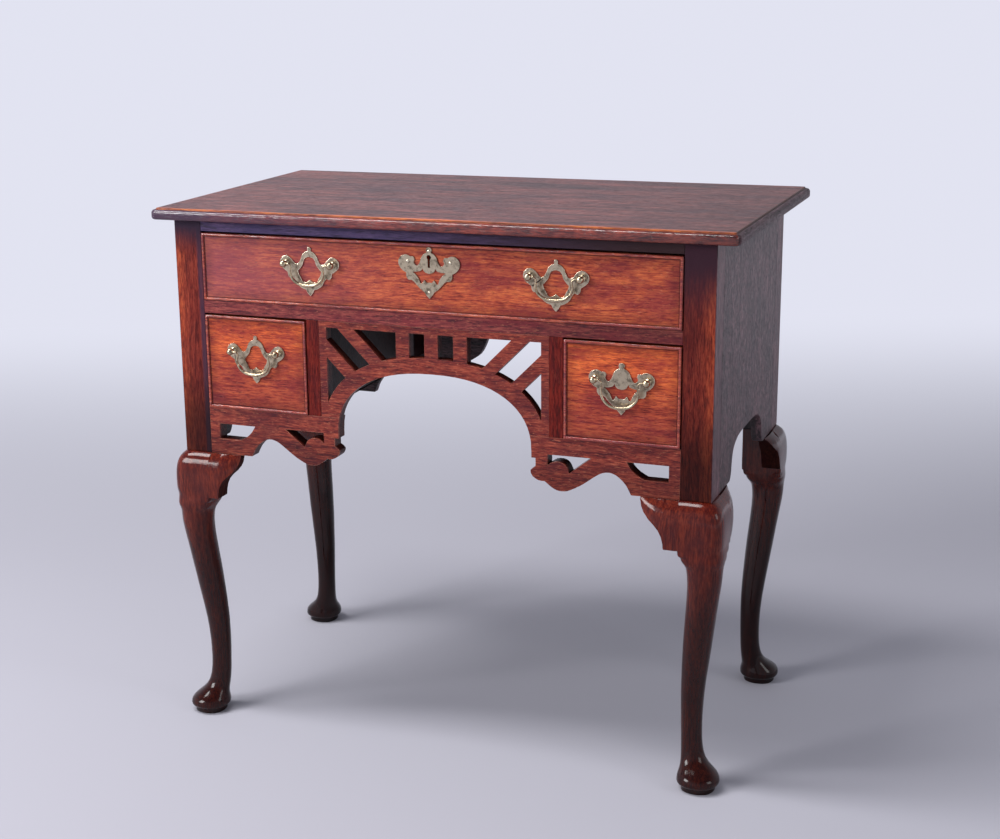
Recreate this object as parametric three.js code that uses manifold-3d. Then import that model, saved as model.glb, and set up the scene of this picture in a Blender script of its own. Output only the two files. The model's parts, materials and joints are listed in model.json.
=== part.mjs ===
// An oak lowboy with a pierced arch over its kneehole, one long drawer and two small ones.
// Millimetres, X to the right, Y to the back, Z up; the origin is the bottom centre of the whole piece.

import * as THREE from 'three';
import { mergeVertices } from 'three/addons/utils/BufferGeometryUtils.js';
import Module from 'manifold-3d';

const wasm = await Module();
wasm.setup();

// Case: the outside of the four posts, and the bands of the front from the floor up
const caseWidth = 722;
const caseDepth = 386;
const postWidth = 39;
const legHeight = 381;
const apronHeight = 64;
const smallDrawerHeight = 127.5;
const middleRailHeight = 17.5;
const topDrawerHeight = 91;
const topRailHeight = 14;
const topThickness = 15;

// Top board: how far it stands out past the case, and its moulded edge
const topSideOverhang = 29;
const topFrontOverhang = 14;
const topBackOverhang = 36;
const topCornerRadius = 6;
const topEdgeWidth = 7;

// Boards of the case
const smallDrawerWidth = 148;
const partitionThickness = 18.5;
const topRailDepth = 45;
const middleRailDepth = 60;
const sideThickness = 14;
const backThickness = 12;
const apronThickness = 19;
const bearerThickness = 15;
const bearerEdge = 4;
const bearerChamfer = 20;
const partitionLift = 9;
const tenonLength = 18;
const tenonThickness = 6;
const tenonShoulder = 5;
const railShoulder = 3.5;

// Pierced arch between the partitions
const fretThickness = 15;
const fretTopStrip = 8.5;
const fretSideStrip = 10;
const fretFootWidth = 23;
const fretBarWidth = 18;
const fretBarCentre = 39;
const fretRayWidth = 16.2;
const fretRayOffset = 27.25;
const archHeight = 68;
const archSpringDrop = 20;
const archFootDrop = 12;
const archBand = 20;
const archFullness = 2.3;

// Cut lower edges of the sides and the back
const sideArchHalfWidth = 98;
const sideArchHeight = 50;
const backArchHalfWidth = 100;
const backArchHeight = 142;
const backCurveHalfWidth = 250;
const backCurveHeight = 57;

// Legs: the knee stands out of the post, the ankle leans in, the foot reaches out to the corner
const kneeBulge = 16;
const kneeBlockHeight = 60;
const legFootReach = 12;
const footBaseRadius = 22;
const footBaseHeight = 7.5;
const footPadRadius = 27;
const footPadHeight = 16;
const ankleRadius = 13.5;
const ankleHeight = 72;
const ankleLean = 6.3;
const calfRadius = 18.2;
const calfHeight = 190;
const calfReach = 3;
const shinRadius = 21;
const shinHeight = 280;
const shinReach = 17;

// Knee brackets glued beside the knees
const frontEarWidths = { left: 44, right: 49 };
const sideEarWidth = 42;
const earThickness = 10;

// Drawers
const drawerEndGap = 22;
const drawerSideGap = 1;
const drawerTopGap = 2.4;
const drawerFrontThickness = 18;
const drawerSideThickness = 9;
const drawerSideDrop = 4;
const drawerBackDrop = 6;
const drawerBottomThickness = 6;
const drawerGrooveHeight = 4;
const drawerGrooveDepth = 4;
const dovetailLength = 11;
const dovetailFlare = 2;
const beadWidth = 3.5;
const beadProud = 2;

// Brass: handles and escutcheon
const handleHalfSpan = 33;
const plateThickness = 1.8;
const topHandleOffset = 165;
const topHandleRise = 56;
const smallHandleRise = 80;
const postBallRadius = 4.6;
const postStandoff = 8.5;
const postNeckRadius = 2.6;
const postCollarRadius = 4;
const postCollarLength = 1.3;
const postNeckStart = 2;
const postShankRadius = 2;
const postNutRadius = 5;
const postNutThickness = 3;
const bailEndRadius = 1.4;
const bailMiddleRadius = 2.3;
const topBailDrop = 27;
const smallBailDrop = 29;
const longBailDrop = 33;
const escutcheonRise = 63.5;
const bailArmInset = 10.5;

// Lock of the long drawer
const lockWidth = 60;
const lockHeight = 44;
const lockThickness = 10;
const lockRecess = 8;
const boltWidth = 16;
const boltThickness = 5;
const boltLength = 20;
const boltThrow = 8;
const keyholeRadius = 3;
const keyholeSlotWidth = 3;
const keyholeLength = 16;
const keyholeTopDrop = 13.5;

// Clearances of glued and of sliding pieces, how far a cut runs past a face, and the sides of a small round
const fitGap = 0.3;
const slideGap = 0.3;
const overrun = 5;
const tiny = 1e-6;
const roundSides = 12;

// Places worked out from the sizes above
const apronTop = legHeight + apronHeight;
const middleRailBottom = apronTop + smallDrawerHeight;
const middleRailTop = middleRailBottom + middleRailHeight;
const topRailBottom = middleRailTop + topDrawerHeight;
const caseTop = topRailBottom + topRailHeight;
const outerX = caseWidth / 2;
const innerX = outerX - postWidth;
const panelX = outerX - sideThickness;
const partitionOuterX = innerX - smallDrawerWidth;
const bayHalf = partitionOuterX - partitionThickness;
const archHalf = bayHalf - fretFootWidth;
const legCentreX = outerX - postWidth / 2;
const padReach = legFootReach * Math.SQRT1_2 + footPadRadius - postWidth / 2;
const handleReach = plateThickness + postStandoff + postBallRadius;
const frontReach = Math.max(topFrontOverhang, padReach, kneeBulge, handleReach);
const backReach = Math.max(topBackOverhang, padReach);
const frontY = (frontReach - caseDepth - backReach) / 2;
const backY = frontY + caseDepth;
const middleY = (frontY + backY) / 2;
const panelBackY = backY - backThickness;
const drawerLength = panelBackY - drawerEndGap - frontY;

// Finishes: colour, roughness and metalness of each kind of surface
const frontOak = new THREE.MeshStandardMaterial({ color: 0x8a3a1c, roughness: 0.38, metalness: 0 });
const legOak = new THREE.MeshStandardMaterial({ color: 0x5a2214, roughness: 0.28, metalness: 0 });
const topOak = new THREE.MeshStandardMaterial({ color: 0x6b4a42, roughness: 0.35, metalness: 0 });
const sideOak = new THREE.MeshStandardMaterial({ color: 0x564844, roughness: 0.5, metalness: 0 });
const insideOak = new THREE.MeshStandardMaterial({ color: 0x8c6a48, roughness: 0.75, metalness: 0 });
const brass = new THREE.MeshStandardMaterial({ color: 0xa08a5a, roughness: 0.35, metalness: 1 });
const iron = new THREE.MeshStandardMaterial({ color: 0x4a4644, roughness: 0.55, metalness: 1 });

const lowboy = new THREE.Group();

function add(name, geometry, material) {
  const mesh = new THREE.Mesh(geometry, material);
  mesh.name = name;
  lowboy.add(mesh);
  return mesh;
}

// Solids for joining and cutting

function solid(geometry) {
  const merged = indexed(geometry);
  const positions = new Float32Array(merged.attributes.position.array);
  const triangles = new Uint32Array(merged.index.array);
  return new wasm.Manifold(new wasm.Mesh({ numProp: 3, vertProperties: positions, triVerts: triangles }));
}

function geometryOf(body) {
  const mesh = body.getMesh();
  const geometry = new THREE.BufferGeometry();
  const positions = new Float32Array(mesh.vertProperties);
  geometry.setAttribute('position', new THREE.BufferAttribute(positions, mesh.numProp));
  geometry.setIndex(new THREE.BufferAttribute(new Uint32Array(mesh.triVerts), 1));
  geometry.computeVertexNormals();
  return geometry;
}

function box(low, high) {
  const size = high.map((value, axis) => value - low[axis]);
  const geometry = new THREE.BoxGeometry(...size);
  geometry.translate(...low.map((value, axis) => value + size[axis] / 2));
  return geometry;
}

// A box given by its corners on the right half; side -1 gives its mirror image on the left
function sideBox(side, low, high) {
  const ends = [low[0] * side, high[0] * side].sort((a, b) => a - b);
  return box([ends[0], low[1], low[2]], [ends[1], high[1], high[2]]);
}

function grown(low, high, gap) {
  return [low.map((value) => value - gap), high.map((value) => value + gap)];
}

// Outlines: a list of corners, with {curve: [...]} for a smooth run that starts at the corner before it

function tracePoints(steps, smoothness = 3) {
  const points = [];
  for (const step of steps) {
    if (step.curve) {
      const start = points[points.length - 1];
      const knots = [start, ...step.curve.map((pair) => new THREE.Vector2(...pair))];
      const run = new THREE.SplineCurve(knots).getPoints((knots.length - 1) * smoothness);
      points.push(...run.slice(1));
    } else {
      points.push(new THREE.Vector2(...step));
    }
  }
  return points;
}

function mirrored(points) {
  const other = points.filter((point) => Math.abs(point.x) > tiny);
  return [...points, ...other.reverse().map((point) => new THREE.Vector2(-point.x, point.y))];
}

function shapeOf(points, holes = []) {
  const shape = new THREE.Shape(points);
  for (const hole of holes) shape.holes.push(new THREE.Path(hole));
  return shape;
}

// Extrusions along each axis, from an outline in the other two
function alongZ(shape, low, high) {
  const geometry = new THREE.ExtrudeGeometry(shape, { depth: high - low, bevelEnabled: false });
  geometry.translate(0, 0, low);
  return geometry;
}

function alongY(shape, low, high) {
  const geometry = new THREE.ExtrudeGeometry(shape, { depth: high - low, bevelEnabled: false });
  geometry.rotateX(Math.PI / 2);
  geometry.translate(0, high, 0);
  return geometry;
}

function alongX(shape, low, high) {
  const geometry = new THREE.ExtrudeGeometry(shape, { depth: high - low, bevelEnabled: false });
  geometry.rotateY(Math.PI / 2);
  geometry.rotateX(Math.PI / 2);
  geometry.translate(low, 0, 0);
  return geometry;
}

function rectangle(low, high) {
  return [[low[0], low[1]], [high[0], low[1]], [high[0], high[1]], [low[0], high[1]]]
    .map((pair) => new THREE.Vector2(...pair));
}

// A closed skin through rings of equal point count, capped at both ends
function loft(rings) {
  const count = rings[0].length;
  const positions = [];
  const triangles = [];
  for (const ring of rings) for (const point of ring) positions.push(point.x, point.y, point.z);
  for (let row = 0; row + 1 < rings.length; row++) {
    for (let column = 0; column < count; column++) {
      const next = (column + 1) % count;
      const a = row * count + column;
      const b = row * count + next;
      triangles.push(a, b, b + count, a, b + count, a + count);
    }
  }
  const last = (rings.length - 1) * count;
  for (let column = 1; column + 1 < count; column++) {
    triangles.push(0, column + 1, column);
    triangles.push(last, last + column, last + column + 1);
  }
  const geometry = new THREE.BufferGeometry();
  geometry.setAttribute('position', new THREE.Float32BufferAttribute(positions, 3));
  geometry.setIndex(triangles);
  geometry.computeVertexNormals();
  return geometry;
}

// A mirror image by the signs for X, Y and Z, with its faces turned back outwards
function reflected(geometry, signs) {
  const copy = geometry.clone();
  copy.scale(...signs);
  const index = copy.index.array;
  for (let start = 0; start < index.length; start += 3) {
    [index[start + 1], index[start + 2]] = [index[start + 2], index[start + 1]];
  }
  copy.computeVertexNormals();
  return copy;
}

// An extrusion has no index, and the mirror needs one
function indexed(geometry) {
  const bare = geometry.clone();
  bare.deleteAttribute('normal');
  bare.deleteAttribute('uv');
  return mergeVertices(bare);
}

// A piece made for the right half, or its mirror image on the left
function onSide(geometry, side) {
  return side < 0 ? reflected(geometry.index ? geometry : indexed(geometry), [-1, 1, 1]) : geometry;
}

// Top board with a thumb-nail edge: a quirk cut down from the flat, then a round nose
function topBoard() {
  const cornerSteps = 4;
  const edgeShares = [[0.4, 0], [0.1, 0.1], [0, 0.3], [0.08, 0.55], [0.4, 0.76], [1, 0.87], [1, 1]];
  const rings = edgeShares.map(([insetShare, heightShare]) => {
    const inset = insetShare * topEdgeWidth;
    const low = [-outerX - topSideOverhang + inset, frontY - topFrontOverhang + inset];
    const high = [outerX + topSideOverhang - inset, backY + topBackOverhang - inset];
    const height = caseTop + heightShare * topThickness;
    const ring = [];
    for (let corner = 0; corner < 4; corner++) {
      const atRight = corner === 0 || corner === 3;
      const atBack = corner < 2;
      const centreX = atRight ? high[0] - topCornerRadius : low[0] + topCornerRadius;
      const centreY = atBack ? high[1] - topCornerRadius : low[1] + topCornerRadius;
      for (let step = 0; step <= cornerSteps; step++) {
        const angle = (corner + step / cornerSteps) * Math.PI / 2;
        const x = centreX + topCornerRadius * Math.cos(angle);
        const y = centreY + topCornerRadius * Math.sin(angle);
        ring.push(new THREE.Vector3(x, y, height));
      }
    }
    return ring;
  });
  return loft(rings);
}

// How far the knee stands out of the post: [share of the way down its block, share of the full bulge]
const kneeProfileShares = [
  [0, 0.15], [0.05, 0.4], [0.13, 0.68], [0.3, 0.91], [0.52, 1], [0.75, 1], [1, 0.95],
];

// The value at a place along a list of [place, value] pairs, by straight lines between them
function shareAt(pairs, place) {
  for (let at = 1; at < pairs.length; at++) {
    const [from, fromValue] = pairs[at - 1];
    const [to, toValue] = pairs[at];
    if (place <= to) {
      const part = Math.max(0, (place - from) / (to - from));
      return fromValue + part * (toValue - fromValue);
    }
  }
  return pairs[pairs.length - 1][1];
}

function kneeShare(height) {
  return shareAt(kneeProfileShares, (legHeight - height) / kneeBlockHeight);
}

// One level of a leg: its half width, how far it leans to the corner, and how square its sides are
function legRing({ height, half, lean, outer, inner }) {
  const sides = 16;
  const ring = [];
  for (let step = 0; step < sides; step++) {
    const angle = step * 2 * Math.PI / sides;
    const across = Math.cos(angle);
    const along = Math.sin(angle);
    const power = across > -tiny && along > -tiny ? outer : inner;
    const spread = power === Infinity
      ? 1 / Math.max(Math.abs(across), Math.abs(along))
      : (Math.abs(across) ** power + Math.abs(along) ** power) ** (-1 / power);
    ring.push(new THREE.Vector3(lean + half * spread * across, lean + half * spread * along, height));
  }
  return ring;
}

// The leg's levels from the floor to the top of its post; its own corner is at +X and +Y
function legLevels() {
  const levels = [];
  const round = (height, half, reach) => {
    levels.push({ height, half, lean: reach * Math.SQRT1_2, outer: 2, inner: 2 });
  };
  round(0, footBaseRadius, legFootReach);
  round(footBaseHeight, footBaseRadius, legFootReach);
  const padShares = [[0.02, 0.88], [0.4, 0.98], [0.7, 1], [1, 0.98]];
  for (const [heightShare, radiusShare] of padShares) {
    const height = footBaseHeight + heightShare * (footPadHeight - footBaseHeight);
    round(height, radiusShare * footPadRadius, legFootReach);
  }
  // From the pad to the ankle: height, thickness and lean each as a share of the way
  const instepShares = [
    [0.09, 0.16, 0.08], [0.17, 0.34, 0.2], [0.27, 0.62, 0.48], [0.43, 0.85, 0.74], [0.64, 0.95, 0.9],
    [1, 1, 1],
  ];
  for (const [up, thin, leanIn] of instepShares) {
    const height = footPadHeight + up * (ankleHeight - footPadHeight);
    const half = footPadRadius + thin * (ankleRadius - footPadRadius);
    round(height, half, legFootReach - leanIn * (ankleLean + legFootReach));
  }
  // From ankle to calf and from calf to shin, eased so that the leg has no kinks
  const climb = (from, to, shares) => {
    for (const [up, thick, out] of shares) {
      const height = from[0] + up * (to[0] - from[0]);
      round(height, from[1] + thick * (to[1] - from[1]), from[2] + out * (to[2] - from[2]));
    }
  };
  const ankle = [ankleHeight, ankleRadius, -ankleLean];
  const calf = [calfHeight, calfRadius, calfReach];
  const shin = [shinHeight, shinRadius, shinReach];
  const lowerClimbShares = [[0.25, 0.12, -0.02], [0.5, 0.4, 0.15], [0.75, 0.7, 0.54], [1, 1, 1]];
  const upperClimbShares = [[0.33, 0.32, 0.32], [0.67, 0.46, 0.67], [1, 1, 1]];
  climb(ankle, calf, lowerClimbShares);
  climb(calf, shin, upperClimbShares);
  // Between the round shin and the square block that the brackets are glued to
  const blockBottom = legHeight - kneeBlockHeight;
  const halfPost = postWidth / 2;
  const square = (height, innerHalf, outer, inner) => {
    const outerHalf = halfPost + kneeBulge * kneeShare(height);
    const half = (outerHalf + innerHalf) / 2;
    levels.push({ height, half, lean: outerHalf - half, outer, inner });
  };
  const neckShares = [[0.45, 0.6, 2.6, 2.3], [0.8, 0.8, 3.6, 3.2]];
  for (const [up, innerShare, outer, inner] of neckShares) {
    square(shinHeight + up * (blockBottom - shinHeight), innerShare * halfPost, outer, inner);
  }
  const cornerPower = 3.4;
  for (const [down] of [...kneeProfileShares].reverse()) {
    square(legHeight - down * kneeBlockHeight, halfPost, down > 0 ? cornerPower : 2 * cornerPower, Infinity);
  }
  for (const height of [legHeight, caseTop]) {
    levels.push({ height, half: halfPost, lean: 0, outer: Infinity, inner: Infinity });
  }
  return levels;
}

// Knee bracket: it runs along +X from x = 0 at the leg, its face swelling towards +Y as the knee does.
// Its lower outline is given as [share along its width, share down the knee's block]
const frontEarShares = [
  [0, 1], [0.33, 1], [0.345, 0.87], [0.39, 0.73], [0.47, 0.61], [0.59, 0.51], [0.75, 0.41], [0.88, 0.3],
  [0.96, 0.19], [1, 0.06],
];
const sideEarShares = [
  [0, 0.9], [0.1, 0.87], [0.23, 0.73], [0.33, 0.55], [0.44, 0.4], [0.64, 0.28], [0.76, 0.18], [0.88, 0.08],
  [1, 0.03],
];
const earEndShare = 0.15;

function bracket(outlineShares, width) {
  const rows = 6;
  const rings = outlineShares.map(([away, down]) => {
    const bottom = legHeight - down * kneeBlockHeight;
    const swell = 1 - (1 - earEndShare) * away ** 3;
    const x = away * width;
    const ring = [
      new THREE.Vector3(x, -earThickness, legHeight),
      new THREE.Vector3(x, -earThickness, bottom),
    ];
    for (let row = rows; row >= 0; row--) {
      const height = legHeight + (bottom - legHeight) * row / rows;
      ring.push(new THREE.Vector3(x, kneeBulge * kneeShare(height) * swell, height));
    }
    return ring;
  });
  return loft(rings);
}

// A bracket of the right back corner: on the front or back face it runs along X, on the side face along Y
function frontEar(width) {
  const ear = reflected(bracket(frontEarShares, width), [-1, 1, 1]);
  ear.translate(innerX, backY, 0);
  return ear;
}

function sideEar() {
  const ear = bracket(sideEarShares, sideEarWidth);
  ear.rotateZ(-Math.PI / 2);
  ear.translate(outerX, backY - postWidth, 0);
  return ear;
}

// Moves a piece of the right back corner to another corner
function toCorner(geometry, side, depth) {
  let moved = geometry.clone();
  moved.translate(0, -middleY, 0);
  if (side < 0) moved = reflected(moved, [-1, 1, 1]);
  if (depth < 0) moved = reflected(moved, [1, -1, 1]);
  moved.translate(0, middleY, 0);
  return moved;
}

// Tenons, each a box on the right half of the case: low corner, high corner
const tenonFrontLow = frontY + tenonShoulder;
const backTenonY = panelBackY + (backThickness - tenonThickness) / 2;
const tenons = {
  topRail: [
    [innerX - overrun, tenonFrontLow, topRailBottom + railShoulder],
    [innerX + tenonLength, frontY + postWidth - tenonShoulder, caseTop - railShoulder],
  ],
  middleRail: [
    [innerX - overrun, tenonFrontLow, middleRailBottom + railShoulder],
    [innerX + tenonLength, frontY + postWidth - tenonShoulder, middleRailTop - railShoulder],
  ],
  apron: [
    [innerX - overrun, tenonFrontLow, legHeight + 2 * tenonShoulder],
    [innerX + tenonLength, tenonFrontLow + tenonThickness, apronTop - tenonShoulder],
  ],
  back: [
    [innerX - overrun, backTenonY, legHeight + 2 * tenonShoulder],
    [innerX + tenonLength, backTenonY + tenonThickness, caseTop - 2 * tenonShoulder],
  ],
};
const panelTenonX = panelX + (sideThickness - tenonThickness) / 2;
const panelTenonZ = [legHeight + 2 * tenonShoulder, caseTop - 2 * tenonShoulder];
const panelTenons = [
  [
    [panelTenonX, frontY + postWidth - tenonLength, panelTenonZ[0]],
    [panelTenonX + tenonThickness, frontY + postWidth + overrun, panelTenonZ[1]],
  ],
  [
    [panelTenonX, backY - postWidth - overrun, panelTenonZ[0]],
    [panelTenonX + tenonThickness, backY - postWidth + tenonLength, panelTenonZ[1]],
  ],
];

function tenoned(body, side, tenon) {
  return body.add(solid(sideBox(side, ...tenon)));
}

function mortised(body, side, tenon) {
  return body.subtract(solid(sideBox(side, ...grown(...tenon, fitGap))));
}

// Legs with their posts, and the brackets beside them
const legShape = loft(legLevels().map(legRing));

for (const [depthName, depth] of [['front', -1], ['back', 1]]) {
  for (const [sideName, side] of [['left', -1], ['right', 1]]) {
    const placed = legShape.clone();
    placed.translate(legCentreX, backY - postWidth / 2, 0);
    let leg = solid(toCorner(placed, side, depth));
    const cuts = depth < 0 ? [tenons.topRail, tenons.middleRail, tenons.apron, panelTenons[0]]
      : [tenons.back, panelTenons[1]];
    for (const cut of cuts) leg = mortised(leg, side, cut);
    add(`leg_${depthName}_${sideName}`, geometryOf(leg), legOak);
    if (depth < 0) {
      const ear = frontEar(frontEarWidths[sideName]);
      add(`bracket_front_${sideName}`, toCorner(ear, side, depth), legOak);
    }
    add(`bracket_side_${depthName}_${sideName}`, toCorner(sideEar(), side, depth), legOak);
  }
}

add('top_board', topBoard(), topOak);

// Front rails over and under the long drawer
const lockFrontY = frontY + drawerFrontThickness - lockRecess;
const boltFrontY = lockFrontY + (lockThickness - boltThickness) / 2;
const boltY = [boltFrontY, boltFrontY + boltThickness];

function topRail() {
  let rail = solid(box([-innerX, frontY, topRailBottom], [innerX, frontY + topRailDepth, caseTop]));
  for (const side of [-1, 1]) rail = tenoned(rail, side, tenons.topRail);
  const mortise = box(
    [-boltWidth / 2 - fitGap, boltY[0] - fitGap, topRailBottom - overrun],
    [boltWidth / 2 + fitGap, boltY[1] + fitGap, topRailBottom + boltThrow],
  );
  return rail.subtract(solid(mortise));
}

function middleRail() {
  const board = box([-innerX, frontY, middleRailBottom], [innerX, frontY + middleRailDepth, middleRailTop]);
  let rail = solid(board);
  for (const side of [-1, 1]) rail = tenoned(rail, side, tenons.middleRail);
  return rail;
}

add('rail_top', geometryOf(topRail()), frontOak);
add('rail_middle', geometryOf(middleRail()), frontOak);

// The arch: a full, flat-topped curve from one foot of the fret to the other, open below
function archPoints(halfWidth, springHeight, rise, bottom) {
  const steps = 32;
  const points = [new THREE.Vector2(halfWidth, bottom)];
  for (let step = 0; step <= steps; step++) {
    const angle = step * Math.PI / steps;
    const x = halfWidth * Math.sign(Math.cos(angle)) * Math.abs(Math.cos(angle)) ** (2 / archFullness);
    const z = springHeight + rise * Math.sin(angle) ** (2 / archFullness);
    points.push(new THREE.Vector2(x, z));
  }
  points.push(new THREE.Vector2(-halfWidth, bottom));
  return points;
}

const springHeight = apronTop - archSpringDrop;
const archRise = archHeight + archSpringDrop;
const archFoot = springHeight - archFootDrop;
const archCut = solid(alongY(
  shapeOf(archPoints(archHalf, springHeight, archRise, archFoot)),
  frontY - overrun,
  frontY + apronThickness + overrun,
));

function archFret() {
  const low = frontY - overrun;
  const high = frontY + fretThickness + overrun;
  const board = solid(box([-bayHalf, frontY, apronTop], [bayHalf, frontY + fretThickness, middleRailBottom]));
  const windowHalf = bayHalf - fretSideStrip;
  const windowTop = middleRailBottom - fretTopStrip;
  const window = solid(box([-windowHalf, low, apronTop], [windowHalf, high, windowTop]));
  const band = solid(alongY(
    shapeOf(archPoints(archHalf + archBand, springHeight, archRise + archBand, archFoot)), low, high,
  ));
  let openings = window.subtract(band);
  for (const centre of [-fretBarCentre, 0, fretBarCentre]) {
    const bar = box([centre - fretBarWidth / 2, low, apronTop], [centre + fretBarWidth / 2, high, windowTop]);
    openings = openings.subtract(solid(bar));
  }
  for (const side of [-1, 1]) {
    for (const [alongTop, downSide] of [[0, fretRayOffset], [fretRayOffset, 0]]) {
      const ray = new THREE.BoxGeometry(windowHalf, high - low + overrun, fretRayWidth);
      ray.rotateY(-side * Math.PI / 4);
      ray.translate(side * (windowHalf - alongTop), (low + high) / 2, windowTop - downSide);
      openings = openings.subtract(solid(ray));
    }
  }
  return board.subtract(openings).subtract(archCut);
}

add('arch_fret', geometryOf(archFret()), frontOak);

// Aprons under the small drawers: shares of the way from the arch to the post, and down to the leg joint
const apronEdgeShares = [
  [-0.1, 0], [-0.1, 0.4375], [0.029, 0.4375], [0.029, 0.61],
  { curve: [[-0.006, 0.69], [0.008, 0.81], [0.05, 0.885], [0.092, 0.89]] },
  { curve: [[0.135, 0.99], [0.17, 1.045], [0.208, 1.062], [0.25, 1.045], [0.303, 0.97], [0.356, 0.875],
    [0.41, 0.757], [0.462, 0.65], [0.509, 0.597], [0.557, 0.607], [0.604, 0.69], [0.646, 0.82], [0.678, 1]] },
  [1, 1], [1, 0],
];
const commaHoleShares = [
  [0.112, 0.345], [0.409, 0.345], [0.261, 0.687],
  { curve: [[0.246, 0.58], [0.224, 0.508], [0.187, 0.477], [0.146, 0.493], [0.112, 0.562]] },
];
const cornerHoleShares = [
  [0.646, 0.35], [0.926, 0.35], [0.926, 0.68], [0.768, 0.68],
  { curve: [[0.712, 0.59], [0.672, 0.475], [0.646, 0.35]] },
];

function apronShape() {
  const span = innerX - archHalf;
  const place = ([x, down]) => [archHalf + x * span, apronTop - down * apronHeight];
  const placed = (shares) => tracePoints(shares.map((step) => (
    step.curve ? { curve: step.curve.map(place) } : place(step)
  )), 2);
  return shapeOf(placed(apronEdgeShares), [placed(commaHoleShares), placed(cornerHoleShares)]);
}

for (const [sideName, side] of [['left', -1], ['right', 1]]) {
  const board = alongY(apronShape(), frontY, frontY + apronThickness);
  let apron = solid(onSide(board, side)).subtract(archCut);
  apron = tenoned(apron, side, tenons.apron);
  add(`apron_${sideName}`, geometryOf(apron), frontOak);
}

// Side panels, flush with the posts, with their lower edges cut in a flat arch
const sideArchShares = [
  [1, 0],
  { curve: [[0.95, 0.07], [0.91, 0.25], [0.885, 0.5], [0.83, 0.7], [0.74, 0.84], [0.56, 0.96], [0.3, 1],
    [0, 1]] },
];

function sidePanelShape() {
  const half = caseDepth / 2 - postWidth;
  const cut = tracePoints(sideArchShares.map((step) => {
    const place = ([y, up]) => [y * sideArchHalfWidth, legHeight + up * sideArchHeight];
    return step.curve ? { curve: step.curve.map(place) } : place(step);
  }), 2);
  const corners = [[half, caseTop], [half, legHeight]].map((pair) => new THREE.Vector2(...pair));
  const outline = mirrored([...corners, ...cut]);
  return shapeOf(outline.map((point) => new THREE.Vector2(point.x + middleY, point.y)));
}

for (const [sideName, side] of [['left', -1], ['right', 1]]) {
  const ends = [panelX * side, outerX * side].sort((a, b) => a - b);
  let panel = solid(alongX(sidePanelShape(), ...ends));
  for (const tenon of panelTenons) panel = tenoned(panel, side, tenon);
  add(`side_panel_${sideName}`, geometryOf(panel), sideOak);
}

// Back board: its lower edge sweeps in from each side, then rises to a round-headed gap in the middle
const backCurveShares = [
  [1, 0], { curve: [[0.985, 0.1], [0.966, 0.23], [0.91, 0.44]] },
  { curve: [[0.8, 0.63], [0.62, 0.74], [0.33, 0.88], [0, 1]] },
];
const backArchShares = [
  [0.9, 0.06], [0.79, 0.155], [0.72, 0.285], [0.67, 0.43], [0.62, 0.64], [0.5, 0.83], [0.28, 0.96], [0, 1],
];

function backShape() {
  const spread = backCurveHalfWidth - backArchHalfWidth;
  const place = ([x, up]) => [backArchHalfWidth + x * spread, legHeight + up * backCurveHeight];
  const low = tracePoints(backCurveShares.map((step) => (
    step.curve ? { curve: step.curve.map(place) } : place(step)
  )), 2);
  const knots = backArchShares.map(([x, up]) => {
    const height = legHeight + backCurveHeight + up * (backArchHeight - backCurveHeight);
    return new THREE.Vector2(x * backArchHalfWidth, height);
  });
  const high = new THREE.SplineCurve([low[low.length - 1], ...knots]).getPoints(2 * knots.length).slice(1);
  const corners = [[innerX, caseTop], [innerX, legHeight]].map((pair) => new THREE.Vector2(...pair));
  return shapeOf(mirrored([...corners, ...low, ...high]));
}

function backPanel() {
  let panel = solid(alongY(backShape(), panelBackY, backY));
  for (const side of [-1, 1]) panel = tenoned(panel, side, tenons.back);
  return panel;
}

add('back_panel', geometryOf(backPanel()), sideOak);

// Inside the case: partitions, the boards over the small drawers and the boards they run on
for (const [sideName, side] of [['left', -1], ['right', 1]]) {
  const apronBack = frontY + apronThickness;
  const bearerBottom = apronTop - bearerThickness;
  const lift = apronTop + partitionLift;
  const profile = [
    [frontY, apronTop], [apronBack, apronTop], [apronBack, lift], [panelBackY, lift],
    [panelBackY, middleRailBottom], [frontY, middleRailBottom],
  ].map((pair) => new THREE.Vector2(...pair));
  const ends = [bayHalf * side, partitionOuterX * side].sort((a, b) => a - b);
  add(`partition_${sideName}`, alongX(shapeOf(profile), ...ends), frontOak);

  const rearNotch = backY - postWidth;
  const coverPlan = [
    [bayHalf, frontY + middleRailDepth], [panelX, frontY + middleRailDepth], [panelX, rearNotch],
    [innerX, rearNotch], [innerX, panelBackY], [bayHalf, panelBackY],
  ].map(([x, y]) => new THREE.Vector2(x, y));
  const cover = alongZ(shapeOf(coverPlan), middleRailBottom, middleRailTop);
  add(`runner_board_${sideName}`, onSide(cover, side), insideOak);

  const frontNotch = frontY + postWidth;
  const bearerPlan = [
    [partitionOuterX, apronBack], [innerX, apronBack], [innerX, frontNotch], [panelX, frontNotch],
    [panelX, rearNotch], [innerX, rearNotch], [innerX, panelBackY], [partitionOuterX, panelBackY],
  ].map(([x, y]) => new THREE.Vector2(x, y));
  const chamferX = partitionOuterX + bearerChamfer;
  const chamfer = [
    [partitionOuterX - overrun, bearerBottom - overrun], [chamferX, bearerBottom - overrun],
    [chamferX, bearerBottom], [partitionOuterX, apronTop - bearerEdge],
    [partitionOuterX - overrun, apronTop - bearerEdge],
  ].map((pair) => new THREE.Vector2(...pair));
  const planed = alongY(shapeOf(chamfer), apronBack - overrun, panelBackY + overrun);
  const board = solid(alongZ(shapeOf(bearerPlan), bearerBottom, apronTop));
  const bearer = geometryOf(board.subtract(solid(planed)));
  add(`bearer_${sideName}`, onSide(bearer, side), insideOak);
}

// Dovetails at one end of a drawer side: the outline corners of each, from the lower edge up
const tailShares = [0.22, 0.78];

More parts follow.
